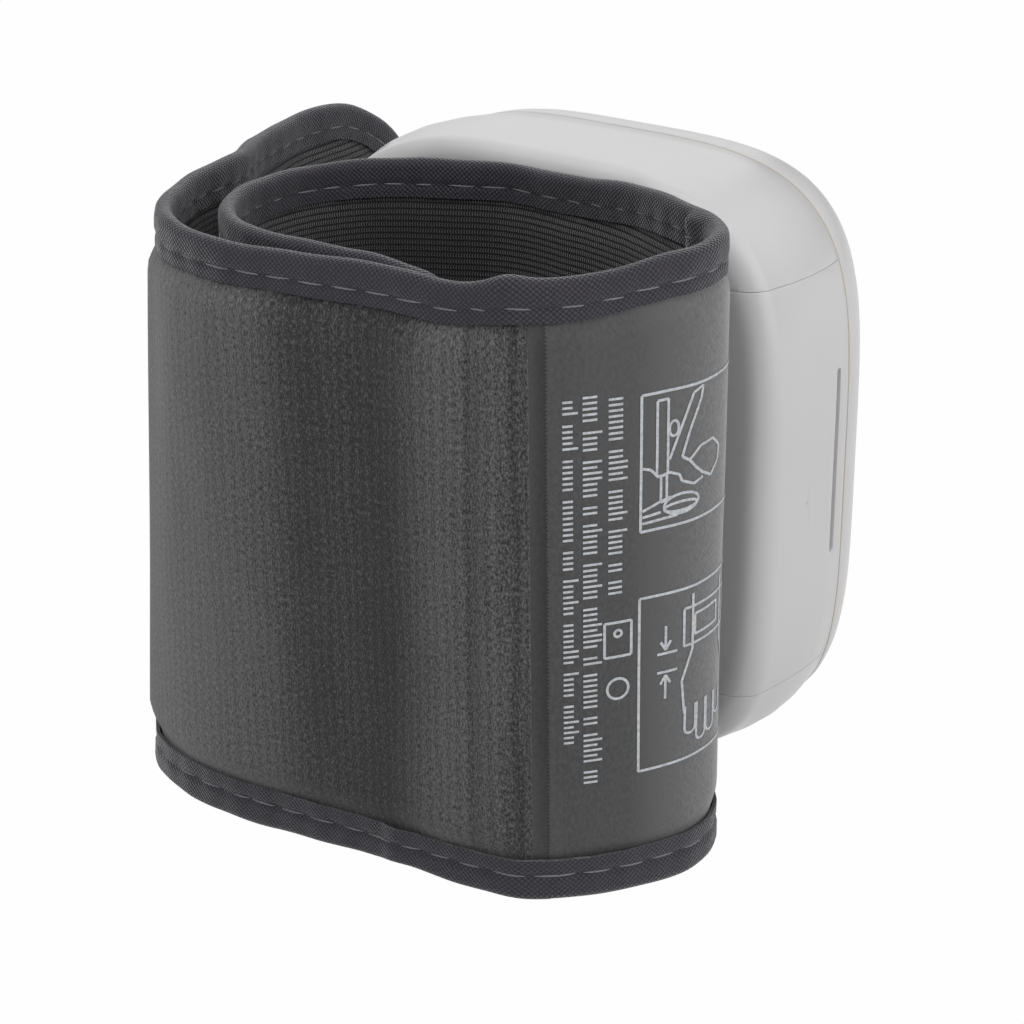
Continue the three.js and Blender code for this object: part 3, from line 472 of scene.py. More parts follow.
door = {
    "halfHeight": 25.1,
    "edgeX": -22.4,
    "gap": 0.07,
    "corners": (1.2, 1.0),  # of the opening and of the cover
    "grooveY": 2.3,
    "grooveZ": (-10.5, 12.8),
    "grooveWidth": 0.85,
    "grooveDepth": 0.75,
    "grooveRound": 0.4,
    "dimple": (8.6, -2.4, 0.55, 0.35),  # place, radius, and how far its middle stands off the side
}


def caseRing(inset, depthAt, squarer=0.0):
    side, top, foot = inset if isinstance(inset, tuple) else (inset, inset, inset)
    ring = []
    for i in range(shell["points"]):
        angle = (i + 0.5) / shell["points"] * 2 * math.pi
        across, up = math.cos(angle), math.sin(angle)
        wide, squareness = shell["left"] if across > 0 else shell["right"]
        high = shell["halfHeight"] + (shell["crown"] - top if up > 0 else -foot)
        squareness = squarer + (squareness if up > 0 else shell["foot"])
        x = (wide - side) * math.copysign(abs(across) ** (2 / squareness), across)
        z = high * math.copysign(abs(up) ** (2 / squareness), up)
        ring.append(caseMid + Vector((x, depthAt(x), z)) * mm)
    return ring


def cradle(x):
    radius = shell["cradleRadius"]
    return shell["cradleDepth"] + radius - math.sqrt(radius * radius - x * x)


def loftRings(name, rings):
    # a filled circle whose face is extruded from ring to ring
    clearSelection()
    bpy.ops.mesh.primitive_circle_add(vertices=len(rings[0]), radius=1, fill_type="NGON")
    piece = bpy.context.object
    piece.name = name
    for vertex, spot in zip(piece.data.vertices, rings[0]):
        vertex.co = spot
    bpy.ops.object.mode_set(mode="EDIT")
    bpy.ops.mesh.select_mode(type="FACE")
    bpy.ops.mesh.select_all(action="SELECT")
    for last, ring in pairs(rings):
        lookup = KDTree(len(last))
        for i, spot in enumerate(last):
            lookup.insert(spot, i)
        lookup.balance()
        bpy.ops.mesh.extrude_region_move()
        edit = bmesh.from_edit_mesh(piece.data)
        for vertex in [v for v in edit.verts if v.select]:
            vertex.co = ring[lookup.find(vertex.co)[1]]
        bmesh.update_edit_mesh(piece.data)
    faceOutwards(piece)
    return piece


def roundedBlock(name, low, high, radius=0.0, axes="XYZ", segments=3):
    # a cube at its size and place, with the edges along the named axes rounded
    clearSelection()
    low, high = Vector(low), Vector(high)
    bpy.ops.mesh.primitive_cube_add(size=1, location=(low + high) / 2, scale=high - low)
    piece = bpy.context.object
    piece.name = name
    applyPlace()
    if radius:
        bpy.ops.object.mode_set(mode="EDIT")
        bpy.ops.mesh.select_mode(type="EDGE")
        bpy.ops.mesh.select_all(action="DESELECT")
        edit = bmesh.from_edit_mesh(piece.data)
        for edge in edit.edges:
            run = edge.verts[0].co - edge.verts[1].co
            edge.select = "XYZ"[max(range(3), key=lambda axis: abs(run[axis]))] in axes
        bmesh.update_edit_mesh(piece.data)
        bpy.ops.mesh.bevel(offset=radius, segments=segments, profile=0.5)
        bpy.ops.object.mode_set(mode="OBJECT")
    return piece


def onCase(x, y, z):
    return caseMid + Vector((x, y, z)) * mm


def caseBlock(name, low, high, radius=0.0, axes="XYZ", segments=3):
    return roundedBlock(name, onCase(*low), onCase(*high), radius * mm, axes, segments)


def carve(piece, cutter, operation="DIFFERENCE"):
    modifier = piece.modifiers.new("carve", "BOOLEAN")
    modifier.operation = operation
    modifier.solver = "EXACT"
    modifier.object = cutter
    applyModifiers(piece)
    bpy.data.objects.remove(cutter)


def copyOf(piece, name):
    makeActive(piece)
    bpy.ops.object.duplicate()
    twin = bpy.context.object
    twin.name = name
    return twin


def softenEdges(piece, width, angle=42):
    modifier = piece.modifiers.new("soften", "BEVEL")
    modifier.width = width * mm
    modifier.segments = 2
    modifier.limit_method = "ANGLE"
    modifier.angle_limit = math.radians(angle)
    modifier.use_clamp_overlap = True
    modifier.harden_normals = False
    applyModifiers(piece)
    smooth(piece, 40)


quarter = [i / 9 * math.pi / 2 for i in range(10)]  # angles of a rounded edge


def backAt(x):
    least, most = shell["back"]
    deep = max(cradle(x), least)
    return min(deep, most) if x < 0 else deep


def rearLoft(name, inset, radius, sink, start):
    def edgeAt(x, share):
        onSide = ease(abs(x), *shell["backSides"])
        return backAt(x) - sink - (radius[0] * onSide + radius[1] * (1 - onSide)) * share

    rings = [caseRing(inset, lambda x: start)]
    for share in (0.25, 0.5, 0.75):
        between = lambda x: start + (edgeAt(x, 1) - start) * share
        rings.append(caseRing(inset, between, shell["fuller"] * math.sin(math.pi * share)))
    for angle in quarter:
        drawnIn = tuple(inset + r * (1 - math.cos(angle)) for r in radius)
        rings.append(caseRing(drawnIn, lambda x: edgeAt(x, 1 - math.sin(angle))))
    for share in shell["backShares"]:
        drawnIn = tuple(inset + r + share * (shell["left"][0] - inset - r) for r in radius)
        rings.append(caseRing(drawnIn, lambda x: edgeAt(x, 0)))
    return loftRings(name, rings)


def frontLoft(name, inset, radius, depth, start):
    rings = [caseRing(inset, lambda x: start)]
    for angle in quarter[1:]:
        drawnIn = tuple(inset + radius * (1 - math.cos(angle) ** full) for full in shell["frontFullness"])
        squarer = shell["frontSquarer"] * math.sin(angle) ** 0.7
        rings.append(caseRing(drawnIn, lambda x: -depth * math.sin(angle), squarer))
    return loftRings(name, rings)


def makeRearShell():
    wall = shell["wall"]
    rear = rearLoft("rearShell", 0, shell["backRound"], 0, shell["gap"])
    room = rearLoft("rearRoom", wall, tuple(max(r - wall, 0.6) for r in shell["backRound"]), wall, -1)
    carve(rear, room)
    grooveLow, grooveHigh = door["grooveZ"]
    side = -shell["right"][0]
    groove = caseBlock(
        "nailGroove",
        (side - 3, door["grooveY"] - door["grooveWidth"] / 2, grooveLow),
        (side + door["grooveDepth"], door["grooveY"] + door["grooveWidth"] / 2, grooveHigh),
        door["grooveRound"], "X", 4)
    carve(rear, groove)
    clearSelection()
    dimpleY, dimpleZ, dimpleSize, dimpleOff = door["dimple"]
    bpy.ops.mesh.primitive_uv_sphere_add(segments=20, ring_count=12, radius=dimpleSize * mm,
                                         location=onCase(side - dimpleOff, dimpleY, dimpleZ))
    carve(rear, bpy.context.object)
    cover = copyOf(rear, "batteryCover")
    half, edge, gap, beyond = door["halfHeight"], door["edgeX"], door["gap"], shell["beyond"]
    cutCorner, keepCorner = door["corners"]
    carve(rear, caseBlock("doorCut", (-beyond, -3, -half), (edge, beyond, half), cutCorner, "Y"))
    keep = caseBlock("doorKeep", (-beyond, -3, -half + gap), (edge - gap, beyond, half - gap), keepCorner, "Y")
    carve(cover, keep, "INTERSECT")
    wellRadius, wellLength, wellMiddle = shell["well"]
    for screw in range(1, 5):
        low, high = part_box(f"case_screw_{screw}")
        spot = ((low.x + high.x) / 2, high.y + wellMiddle * mm, (low.z + high.z) / 2)
        clearSelection()
        bpy.ops.mesh.primitive_cylinder_add(vertices=40, radius=wellRadius * mm, depth=wellLength * mm,
                                            location=spot)
        cutter = bpy.context.object
        cutter.rotation_euler.x = math.pi / 2
        applyPlace()
        carve(rear, cutter)
    for piece in (rear, cover):
        softenEdges(piece, shell["softEdge"])
        finishes["case"].on(piece)
    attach(rear, "housing")
    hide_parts("rear_case")
    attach(cover, "battery_cover")
    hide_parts("battery_cover")


makeRearShell()
print("rear shell and battery cover made")

bay = {
    "low": (-30.6, 1.0, -25.9),
    "high": (-8.6, 14.0, 25.9),
    "wall": 1.2,
    "wallX": -9.8,
    "endX": -31,
    "endZ": 24.75,
    "softEdge": 0.3,
    "ribs": (-14, 0, 14),  # low ribs that seat each cell
    "rib": (1.6, 0.6, 2, 2.45),  # half width, half length, foot and top
}


def makeBatteryBay():
    lowX, lowY, lowZ = bay["low"]
    highX, highY, highZ = bay["high"]
    soft = bay["softEdge"]
    walls = [
        caseBlock("bayFloor", (lowX, lowY, lowZ), (highX, lowY + bay["wall"], highZ), soft),
        caseBlock("bayWall", (bay["wallX"], lowY, lowZ), (highX, highY, highZ), soft),
        caseBlock("bayEndLow", (bay["endX"], lowY, lowZ), (highX, highY, -bay["endZ"]), soft),
        caseBlock("bayEndHigh", (bay["endX"], lowY, bay["endZ"]), (highX, highY, highZ), soft),
    ]
    wide, long, foot, top = bay["rib"]
    for low, high in (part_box("battery_cell_1"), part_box("battery_cell_2")):
        middle = ((low.x + high.x) / 2 - caseMid.x) / mm
        for z in bay["ribs"]:
            walls.append(caseBlock("bayRib", (middle - wide, foot, z - long),
                                   (middle + wide, top, z + long), soft / 2))
    tray = joined(walls, "batteryTray")
    smooth(tray)
    finishes["case"].on(tray)
    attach(tray, "housing")
    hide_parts("rear_case")


makeBatteryBay()
print("battery bay made")

cell = {"nubRadius": 1.9, "nubLength": 0.8, "softEdge": 0.3, "sides": 64}


def makeCells():
    low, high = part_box("battery_cell_1")
    clearSelection()
    bpy.ops.mesh.primitive_cylinder_add(vertices=cell["sides"], radius=(high.x - low.x) / 2,
                                        depth=high.z - low.z - cell["nubLength"] * mm)
    first = bpy.context.object
    first.name = "cellOne"
    bpy.ops.object.mode_set(mode="EDIT")
    bpy.ops.mesh.select_mode(type="FACE")
    bpy.ops.mesh.select_all(action="DESELECT")
    bpy.ops.object.mode_set(mode="OBJECT")
    for face in first.data.polygons:
        face.select = face.normal.z > 0.9
    bpy.ops.object.mode_set(mode="EDIT")
    bpy.ops.mesh.inset(thickness=(high.x - low.x) / 2 - cell["nubRadius"] * mm)
    bpy.ops.mesh.extrude_region_move(TRANSFORM_OT_translate={"value": (0, 0, cell["nubLength"] * mm)})
    bpy.ops.object.mode_set(mode="OBJECT")
    softenEdges(first, cell["softEdge"], 50)
    second = copyOf(first, "cellTwo")
    makeActive(second)
    second.rotation_euler.x = math.pi  # the two cells lie opposite ways
    applyPlace()
    for index, piece in enumerate((first, second)):
        low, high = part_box(f"battery_cell_{index + 1}")
        lift = -cell["nubLength"] * mm / 2 if index == 0 else cell["nubLength"] * mm / 2
        piece.location = (low + high) / 2 + Vector((0, 0, lift))
        makeActive(piece)
        applyPlace()
        finishes["cell"].on(piece)
        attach(piece, "housing")
        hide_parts(f"battery_cell_{index + 1}")


makeCells()
print("cells made")

display = {
    "centreX": 6.5,
    "width": 42,
    "height": 31,
    "corner": 4,
    "thickness": 1.2,
    "sink": 0.2,
    "ledge": 1.5,
    "seatGap": (0.25, 0.3),  # round the window and under it
    # text, right, up and height
    "digits": [("128", 1.5, 6.4, 9.2), ("76", 4.6, -6.4, 9.2), ("64", -14.2, -8.2, 5.4)],
    "rules": [(12.6, 26), (0.2, 26), (-12.4, 34)],  # up and length
    "ink": (0.06, 0.04),  # off the panel, and half of its thickness
    "stroke": 0.13,  # shares of a figure's height: its stroke,
    "step": 0.72,  # from one figure to the next,
    "halfWide": 0.24,
    "long": (0.41, 0.40),  # and the length of an upright and of a level stroke
}
keys = {
    "rowX": -18.5,
    "height": 8.6,
    "corner": 3.8,
    "proud": 0.7,
    "gap": 0.3,
    "softEdge": 0.45,
    "list": [("start_stop_button", -8.5, 19), ("memory_button", 12.5, 11)],
    "ring": (1.5, 0.16),  # the mark on each key: a ring, and bars with two corners, stand and rounding
    "bars": {
        "start_stop_button": [((-0.1, -0.17), (1.9, 0.17), 0.16, 0.12)],
        "memory_button": [((-0.1, -0.13), (0.95, 0.13), 0.14, 0.1), ((-0.13, -0.75), (0.13, 0.1), 0.14, 0.1)],
    },
}


def makeFrontShell():
    front = frontLoft("frontShell", 0, shell["frontRound"], shell["frontDepth"], -shell["gap"])
    inner = shell["frontDepth"] - shell["frontWall"]
    carve(front, frontLoft("frontRoom", shell["wall"], shell["frontInnerRound"], inner, 1))
    halfX, halfZ, depth = display["height"] / 2, display["width"] / 2, shell["frontDepth"]
    gap, under = display["seatGap"]
    seat = display["sink"] + display["thickness"] + under
    middle = display["centreX"]
    carve(front, caseBlock("windowSeat", (middle - halfX - gap, -depth - 2, -halfZ - gap),
                           (middle + halfX + gap, -depth + seat, halfZ + gap), display["corner"], "Y", 8))
    ledge = display["ledge"]
    carve(front, caseBlock("windowHole", (middle - halfX + ledge, -depth - 2, -halfZ + ledge),
                           (middle + halfX - ledge, 0, halfZ - ledge), display["corner"] - ledge, "Y", 8))
    gap = keys["gap"]
    halfKey = keys["height"] / 2 + gap
    for name, z, width in keys["list"]:
        halfWide = width / 2 + gap
        carve(front, caseBlock("keyHole", (keys["rowX"] - halfKey, -depth - 2, z - halfWide),
                               (keys["rowX"] + halfKey, 0, z + halfWide), keys["corner"] + gap, "Y", 10))
    softenEdges(front, 0.15)
    finishes["case"].on(front)
    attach(front, "housing")
    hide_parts("front_case")


partingBead = {"sink": 0.05, "half": 0.7, "thick": 0.9}


def makePartingBead():
    # the pale tongue that shows in the parting line
    clearSelection()
    ring = caseRing(partingBead["sink"], lambda x: -partingBead["half"])
    bpy.ops.mesh.primitive_circle_add(vertices=len(ring), radius=1, fill_type="NOTHING")
    bead = bpy.context.object
    bead.name = "partingBead"
    for vertex, spot in zip(bead.data.vertices, ring):
        vertex.co = spot
    bpy.ops.object.mode_set(mode="EDIT")
    bpy.ops.mesh.select_all(action="SELECT")
    bpy.ops.mesh.extrude_region_move(TRANSFORM_OT_translate={"value": (0, 2 * partingBead["half"] * mm, 0)})
    faceOutwards(bead)
    thicken(bead, partingBead["thick"])
    smooth(bead)
    finishes["bead"].on(bead)
    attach(bead, "housing")


def makeDisplay():
    middle, halfX, halfZ = display["centreX"], display["height"] / 2, display["width"] / 2
    top = -shell["frontDepth"] + display["sink"]
    pane = caseBlock("displayWindow", (middle - halfX, top, -halfZ),
                     (middle + halfX, top + display["thickness"], halfZ), display["corner"], "Y", 8)
    softenEdges(pane, 0.2, 50)
    finishes["window"].on(pane)
    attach(pane, "housing")
    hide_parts("lcd_window")

    off, halfInk = display["ink"]
    inkY = (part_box("lcd_panel")[0].y - caseMid.y) / mm - off
    strokes = {"a": (0, 1, 1), "b": (1, 0.5, 0), "c": (1, -0.5, 0), "d": (0, -1, 1), "e": (-1, -0.5, 0),
               "f": (-1, 0.5, 0), "g": (0, 0, 1)}
    figures = {"0": "abcdef", "1": "bc", "2": "abged", "3": "abgcd", "4": "fgbc", "5": "afgcd", "6": "afgecd",
               "7": "abc", "8": "abcdefg", "9": "abcdfg"}
    pieces = []
    for text, right, up, height in display["digits"]:
        stroke = height * display["stroke"]
        for place, figure in enumerate(text):
            centreRight = right + (place - (len(text) - 1) / 2) * height * display["step"]
            for mark in figures[figure]:
                sideways, upwards, flat = strokes[mark]
                r = centreRight + sideways * height * display["halfWide"]
                u = up + upwards * (height / 2 - stroke / 2)
                long = height * display["long"][flat]
                sizeR, sizeU = (long, stroke) if flat else (stroke, long)
                # reading right is -z and reading up is +x
                low = (middle + u - sizeU / 2, inkY - halfInk, -r - sizeR / 2)
                high = (middle + u + sizeU / 2, inkY + halfInk, -r + sizeR / 2)
                pieces.append(caseBlock("lcdStroke", low, high, stroke * 0.42, "Y", 2))
    for up, size in display["rules"]:
        pieces.append(caseBlock("lcdRule", (middle + up - 0.12, inkY - halfInk, -size / 2),
                                (middle + up + 0.12, inkY + halfInk, size / 2), 0.1, "Y", 2))
    ink = joined(pieces, "displayFigures")
    finishes["lcdInk"].on(ink)
    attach(ink, "housing")


def makeKeys():
    for name, z, width in keys["list"]:
        low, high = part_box(name)
        half = keys["height"] / 2
        top = -shell["frontDepth"] - keys["proud"]
        inside = (high.y - caseMid.y) / mm
        cap = caseBlock(name + "_cap", (keys["rowX"] - half, top, z - width / 2),
                        (keys["rowX"] + half, inside, z + width / 2), keys["corner"], "Y", 10)
        softenEdges(cap, keys["softEdge"], 50)
        finishes["key"].on(cap)
        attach(cap, name)
        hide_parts(name)
        clearSelection()
        spot, (ringSize, ringThick) = onCase(keys["rowX"], top - 0.02, z), keys["ring"]
        bpy.ops.mesh.primitive_torus_add(location=spot, rotation=(math.pi / 2, 0, 0), major_segments=40,
                                         minor_segments=8, major_radius=ringSize * mm,
                                         minor_radius=ringThick * mm)
        applyPlace()
        marks = [bpy.context.object]
        for (lowX, lowZ), (highX, highZ), stand, corner in keys["bars"][name]:
            marks.append(caseBlock("keyBar", (keys["rowX"] + lowX, top - stand, z + lowZ),
                                   (keys["rowX"] + highX, top + 0.1, z + highZ), corner, "XYZ", 2))
        sign = joined(marks, name + "_mark")
        smooth(sign)
        finishes["keyMark"].on(sign)
        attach(sign, name)


makeFrontShell()
makePartingBead()
makeDisplay()
makeKeys()
print("front shell, display and keys made")


# the cuff: one strip, wrapped round the wrist opening and back to the case's far side
strap = {
    # mm on the case's axes: place in plan, then how far the top leans from it and the bottom the other way
    "run": [
        (-20.2, 53.93, 0, 0.4), (0.2, 56.2, 0, 0.5), (8.2, 55.9, -0.3, 0.4), (15.4, 52.8, -0.9, 0),
        (20.3, 46.8, -1.6, -0.2), (21.8, 39.9, -1.6, 0), (20.3, 32.9, -1.0, 0), (15.9, 26.7, -0.4, 0),
        (9.0, 22.1, 0, 0), (0.1, 18.05, 0, 0), (-8.9, 18.64, 0, 0), (-17.9, 20.49, 0, 0),
        (-26.8, 24.44, 0, 0), (-33.7, 28.2, 0.1, 0), (-37.4, 33.2, 0.3, 0), (-38.1, 38.3, 0.4, 0),
        (-36.5, 43.5, 0.4, 0), (-33.6, 48.7, 0.4, 0.2), (-30.6, 52.6, 0.3, 0.3), (-27.7, 54.7, 0.2, 0.4),
        (-24.4, 55.65, 0, 0.4),
        (-19.4, 56.5, 0, 0.4), (-13.5, 56.95, 0, 0.5), (0.2, 58.9, 0, 0.9), (8.2, 59.7, -0.3, 0.8),
        (16.1, 58.5, -0.9, 0.1), (23.2, 53.95, -1.8, -0.5), (27.5, 44.4, -1.2, -0.2), (30.1, 33.3, -1.0, 0),
        (34.9, 25.4, -1.4, 0), (37.3, 19.5, -1.6, 0), (38.8, 13.6, -1.3, 0), (39.2, 8.1, -1.0, 0),
        (39.2, -14, -0.4, 0),
    ],
    "steps": 26,  # between two places of the run
    "seamPoint": 20,  # where the printed cloth ends and the flap begins
    "height": 71,
    "hem": (5.4, 4.6),  # how deep the hem is, along the bottom and along the top
    "half": 1.0,  # half of the strip's thickness beside its hem
    "leanStart": (-0.7, 12, 30, 45, 75),  # the middle of the strip, off the run, between these places
    "leanFlap": (0.8, 42, 22),  # and before the seam
    "tailSag": (0.9, 62, 96),  # the top edge falls past the seam
    "innerSag": (1.2, 12),  # and at the inner end
    "dip": (0.45, 2.5, 4.5),  # beside the seam: depth, place and width
    "rise": [(0.75, -6, 4), (1.1, 9, 21)],  # how far it stands up before the seam, then at the turn
    "riseEnds": (41, 66),
    "innerRound": 5,
    "tailRound": 22,
    "toothBack": 6.6,  # the printed cloth's pinked edge, this far before the seam
    "pileBack": 4.9,
    "pitch": 1.0,
    "edge": 0.6,  # the cloth stops this far inside the hem's edge
}


def smoothRun(points, steps):
    # a curve through all the places, with knots after the root of their distance
    ends = [tuple(2 * a - b for a, b in zip(points[0], points[1]))]
    far = [tuple(2 * a - b for a, b in zip(points[-1], points[-2]))]
    chain = [Vector(p) for p in ends + points + far]
    out = []
    for i in range(1, len(chain) - 2):
        p0, p1, p2, p3 = chain[i - 1:i + 3]
        knots = [0.0]
        for a, b in ((p0, p1), (p1, p2), (p2, p3)):
            knots.append(knots[-1] + math.sqrt((b - a).to_2d().length))
        t0, t1, t2, t3 = knots
        for k in range(steps):
            t = t1 + (t2 - t1) * k / steps
            a1 = (t1 - t) / (t1 - t0) * p0 + (t - t0) / (t1 - t0) * p1
            a2 = (t2 - t) / (t2 - t1) * p1 + (t - t1) / (t2 - t1) * p2
            a3 = (t3 - t) / (t3 - t2) * p2 + (t - t2) / (t3 - t2) * p3
            b1 = (t2 - t) / (t2 - t0) * a1 + (t - t0) / (t2 - t0) * a2
            b2 = (t3 - t) / (t3 - t1) * a2 + (t - t1) / (t3 - t1) * a3
            out.append((t2 - t) / (t2 - t1) * b1 + (t - t1) / (t2 - t1) * b2)
    out.append(chain[-2])
    return out


runPoints = smoothRun(strap["run"], strap["steps"])
runLength = [0.0]
for here, there in pairs(runPoints):
    runLength.append(runLength[-1] + (there - here).to_2d().length)
runNormal = []
for i in range(len(runPoints)):
    along = runPoints[min(i + 3, len(runPoints) - 1)] - runPoints[max(i - 3, 0)]
    along = along.to_2d().normalized()
    runNormal.append(Vector((-along.y, along.x)))
strapEnd = runLength[-1]
seamAt = runLength[strap["seamPoint"] * strap["steps"]]
toothAt = seamAt - strap["toothBack"]
pileAt = seamAt - strap["pileBack"]
print("strap length", round(strapEnd, 1), "mm, seam at", round(seamAt, 1))


def strapAt(s, z, out):
    # a point of the strip: s mm along it, z mm up, out mm from its middle towards the outside
    s = min(max(s, 0.0), strapEnd)
    i = min(max(bisect.bisect_right(runLength, s) - 1, 0), len(runLength) - 2)
    share = (s - runLength[i]) / (runLength[i + 1] - runLength[i])
    spot = runPoints[i].lerp(runPoints[i + 1], share)
    normal = runNormal[i].lerp(runNormal[i + 1], share)
    lean = 2 * z / strap["height"] - 1
    return onPart(spot[0] + spot[2] * lean + normal.x * out, spot[1] + spot[3] * lean + normal.y * out, z)


def stripMiddle(s):
    start, begins, full, fades, ends = strap["leanStart"]
    flap, far, near = strap["leanFlap"]
    lean = start * ease(s, begins, full) * (1 - ease(s, fades, ends))
    return lean + flap * ease(s, seamAt - far, seamAt - near)


def outerFace(s):
    return stripMiddle(s) + strap["half"]


def innerFace(s):
    return stripMiddle(s) - strap["half"]


def topEdge(s):
    tail, near, far = strap["tailSag"]
    inner, innerTo = strap["innerSag"]
    dip, dipAt, dipWide = strap["dip"]
    before = seamAt - s
    sag = tail * ease(s, seamAt + near, seamAt + far) + inner * (1 - ease(s, 0, innerTo))
    rise = sum(high * ease(before, low, full) for high, low, full in strap["rise"])
    sag -= rise * (1 - ease(before, *strap["riseEnds"]))
    return strap["height"] - sag - dip * hump(s - seamAt, dipAt, dipWide)


def roundDrop(fromEnd, radius):
    into = min(max(fromEnd, 0.0), radius)
    return radius - math.sqrt(max(radius * radius - (radius - into) ** 2, 0.0))


def endDrop(s, inset=0.0):
    start = roundDrop(s - inset, strap["innerRound"] - inset)
    tail = roundDrop(strapEnd - s - inset, strap["tailRound"] - inset)
    return max(start, tail)


def clothMesh(name, vertices, faces, maps):
    mesh = bpy.data.meshes.new(name)
    mesh.from_pydata(vertices, [], faces)
    layer = mesh.uv_layers.new(name="cloth")
    for loop in mesh.loops:
        layer.data[loop.index].uv = maps[loop.vertex_index]
    piece = bpy.data.objects.new(name, mesh)
    bpy.context.scene.collection.objects.link(piece)
    return piece


def stations(low, high, pitch):
    count = max(2, round((high - low) / pitch))
    return [low + (high - low) * i / count for i in range(count + 1)]


def gridCloth(name, columns, rows, spanAt, outAt):
    vertices, maps, faces = [], [], []
    for s in columns:
        low, long = spanAt(s)
        for r in range(rows + 1):
            z = low + long * r / rows
            vertices.append(strapAt(s, z, outAt(s, z)))
            maps.append((s * mm, z * mm))
    for c in range(len(columns) - 1):
        for r in range(rows):
            a = c * (rows + 1) + r
            faces.append((a, a + 1, a + rows + 2, a + rows + 1))
    return clothMesh(name, vertices, faces, maps)


def clothSheet(name, sFrom, sTo, outAt, thickness, pitch=strap["pitch"]):
    # cloth on the strip, given its thickness inwards, or outwards for a negative one
    def spanAt(s):
        low = strap["edge"] + endDrop(s, strap["edge"])
        return low, topEdge(s) - low - low

    piece = gridCloth(name, stations(sFrom, sTo, pitch), 64, spanAt, outAt)
    thicken(piece, abs(thickness), -1 if thickness > 0 else 1)
    smooth(piece, 60)
    return piece


def ripple(s, z, seed=0.0):
    return (math.sin(s * 0.41 + seed) * math.sin(z * 0.13 + seed * 2.1)
            + 0.6 * math.sin(s * 0.83 + z * 0.05 + seed * 3.7)) / 1.6


def upThe(strip, z):
    # a pair of sizes, for the bottom and the top, at a height between them
    share = min(max(z / strap["height"], 0.0), 1.0)
    return strip[0] + (strip[1] - strip[0]) * share


def edgeDistance(s, z):
    # how far in from the strip's edge a point lies, round ends included
    radius, fromEnd = (strap["tailRound"], strapEnd - s) if s > seamAt else (strap["innerRound"], s)
    fromSide = min(z, topEdge(s) - z)
    if fromEnd < radius and fromSide < radius:
        return radius - math.hypot(radius - fromEnd, radius - fromSide)
    return min(fromEnd, fromSide)


def besideHem(s, z, swell):
    # cloth is drawn in under the hem, with small puckers beside the stitches
    toEdge = edgeDistance(s, z) - upThe(strap["hem"], z)
    pucker = 0.1 * math.exp(-max(toEdge, 0) / 3.0) * math.sin(s * 1.57 + 0.8 * math.sin(s * 0.31))
    return -0.5 * (1 - ease(toEdge, -0.6, 2.0)) + (swell + pucker) * ease(toEdge, -0.2, 3.2)


def printedOut(s, z):
    return outerFace(s) + besideHem(s, z, 0.16 + 0.1 * ripple(s, z, 0.4))


pile = {
    "stand": 0.85,
    # place from the seam, width and height of each soft fold
    "folds": [(-3.6, 0.6, -0.25), (-1.2, 1.2, 0.15), (0.5, 0.45, -0.4), (5, 3, 0.3), (13.5, 5, -0.3),
              (33, 6, 0.25), (45, 6, -0.2), (57, 7, 0.2)],
    # place from the seam, width and strength of each band of painted light and shade: above nought is painted
    # light, below nought painted shade
    "bands": [(-3.7, 0.8, -0.7), (0.5, 0.4, -0.4), (4, 2.6, 0.3), (12, 5.5, -0.95), (21, 4.5, -0.75),
              (31, 6, 0.25), (41, 8, 0.85)],
}


def pileOut(s, z):
    fold = sum(height * hump(s - seamAt, place, width) for place, width, height in pile["folds"])
    stand = 0.2 + (pile["stand"] - 0.2) * ease(s, pileAt, pileAt + 5)
    return outerFace(s) + besideHem(s, z, stand + fold + 0.12 * ripple(s, z, 1.7))


def channelOut(s, z):
    share = (s - toothAt) / (pileAt - toothAt)
    return outerFace(s) + besideHem(s, z, 0.05 - 0.5 * math.sin(math.pi * min(max(share, 0), 1)))


def liningOut(s, z):
    return innerFace(s) - besideHem(s, z, 0.15 + 0.1 * ripple(s, z, 2.6))


# finishes of the cuff
def printedCloth(name, pale):
    finish = Finish(name, (pale, pale, pale), 0.55, Specular_IOR_Level=0.35, Sheen_Weight=0.8,
                    Sheen_Roughness=0.35)
    spot = finish.cloth()
    along, across, none = finish.parts(spot)
    weave = (along * 9500).sine() * (across * 9500).sine()
    cloud = finish.clothNoise(spot, 90, 26, 3)
    fleck = finish.clothNoise(spot, 2600, 1500, 2)
    dark, light = (0.75 * pale,) * 3, (1.15 * pale,) * 3
    wearAndSheen = finish.mixed(finish.between(cloud, 0.3, 0.72), dark, light)
    # painted sheen: paler where it turns towards the case, standing in for light grazing the cloth
    paintedSheen = finish.between(along, (seamAt - 15) * mm, (seamAt - 29) * mm)
    wearAndSheen = finish.mixed(paintedSheen, wearAndSheen, (4.0 * pale, 4.0 * pale, 4.05 * pale))
    finish.paint(finish.between(fleck, 0.35, 0.85), wearAndSheen, (1.6 * pale,) * 3)
    finish.drive("Roughness", 0.46 + fleck * 0.16)
    finish.bump(weave * 0.4 + fleck, 0.3, 0.00008)
    return finish


def brushedPile():
    finish = Finish("brushedPile", (0.08, 0.08, 0.082), 0.95, Specular_IOR_Level=0.12, Sheen_Weight=0.3,
                    Sheen_Roughness=0.5)
    spot = finish.cloth()
    along, across, none = finish.parts(spot)
    nap = finish.clothNoise(spot, 5200, 1700, 3, 0.6)
    fibre = finish.clothNoise(spot, 10000, 3600, 2, 0.6)
    uneven = finish.clothNoise(spot, 130, 60, 2)
    # the shade attribute carries bands of painted light and shade along the pile
    band = finish.node("ShaderNodeAttribute", {"attribute_name": "shade"}, {}, "Fac")
    wander = finish.clothNoise(spot, 500, 60, 1)
    ribs = (along * 5400 + wander * 7).sine()
    level = band * 0.55 + uneven * 0.2 + nap * 1.6 + fibre * 1.4 + ribs * 0.05 - 1.58
    finish.paint(level.limited(), (0.028, 0.028, 0.029), (0.268, 0.268, 0.275))
    finish.drive("Roughness", 0.88 + nap * 0.1)
    finish.bump(nap * 0.6 + fibre * 0.6 + ribs * 0.06, 0.6, 0.00025)
    return finish


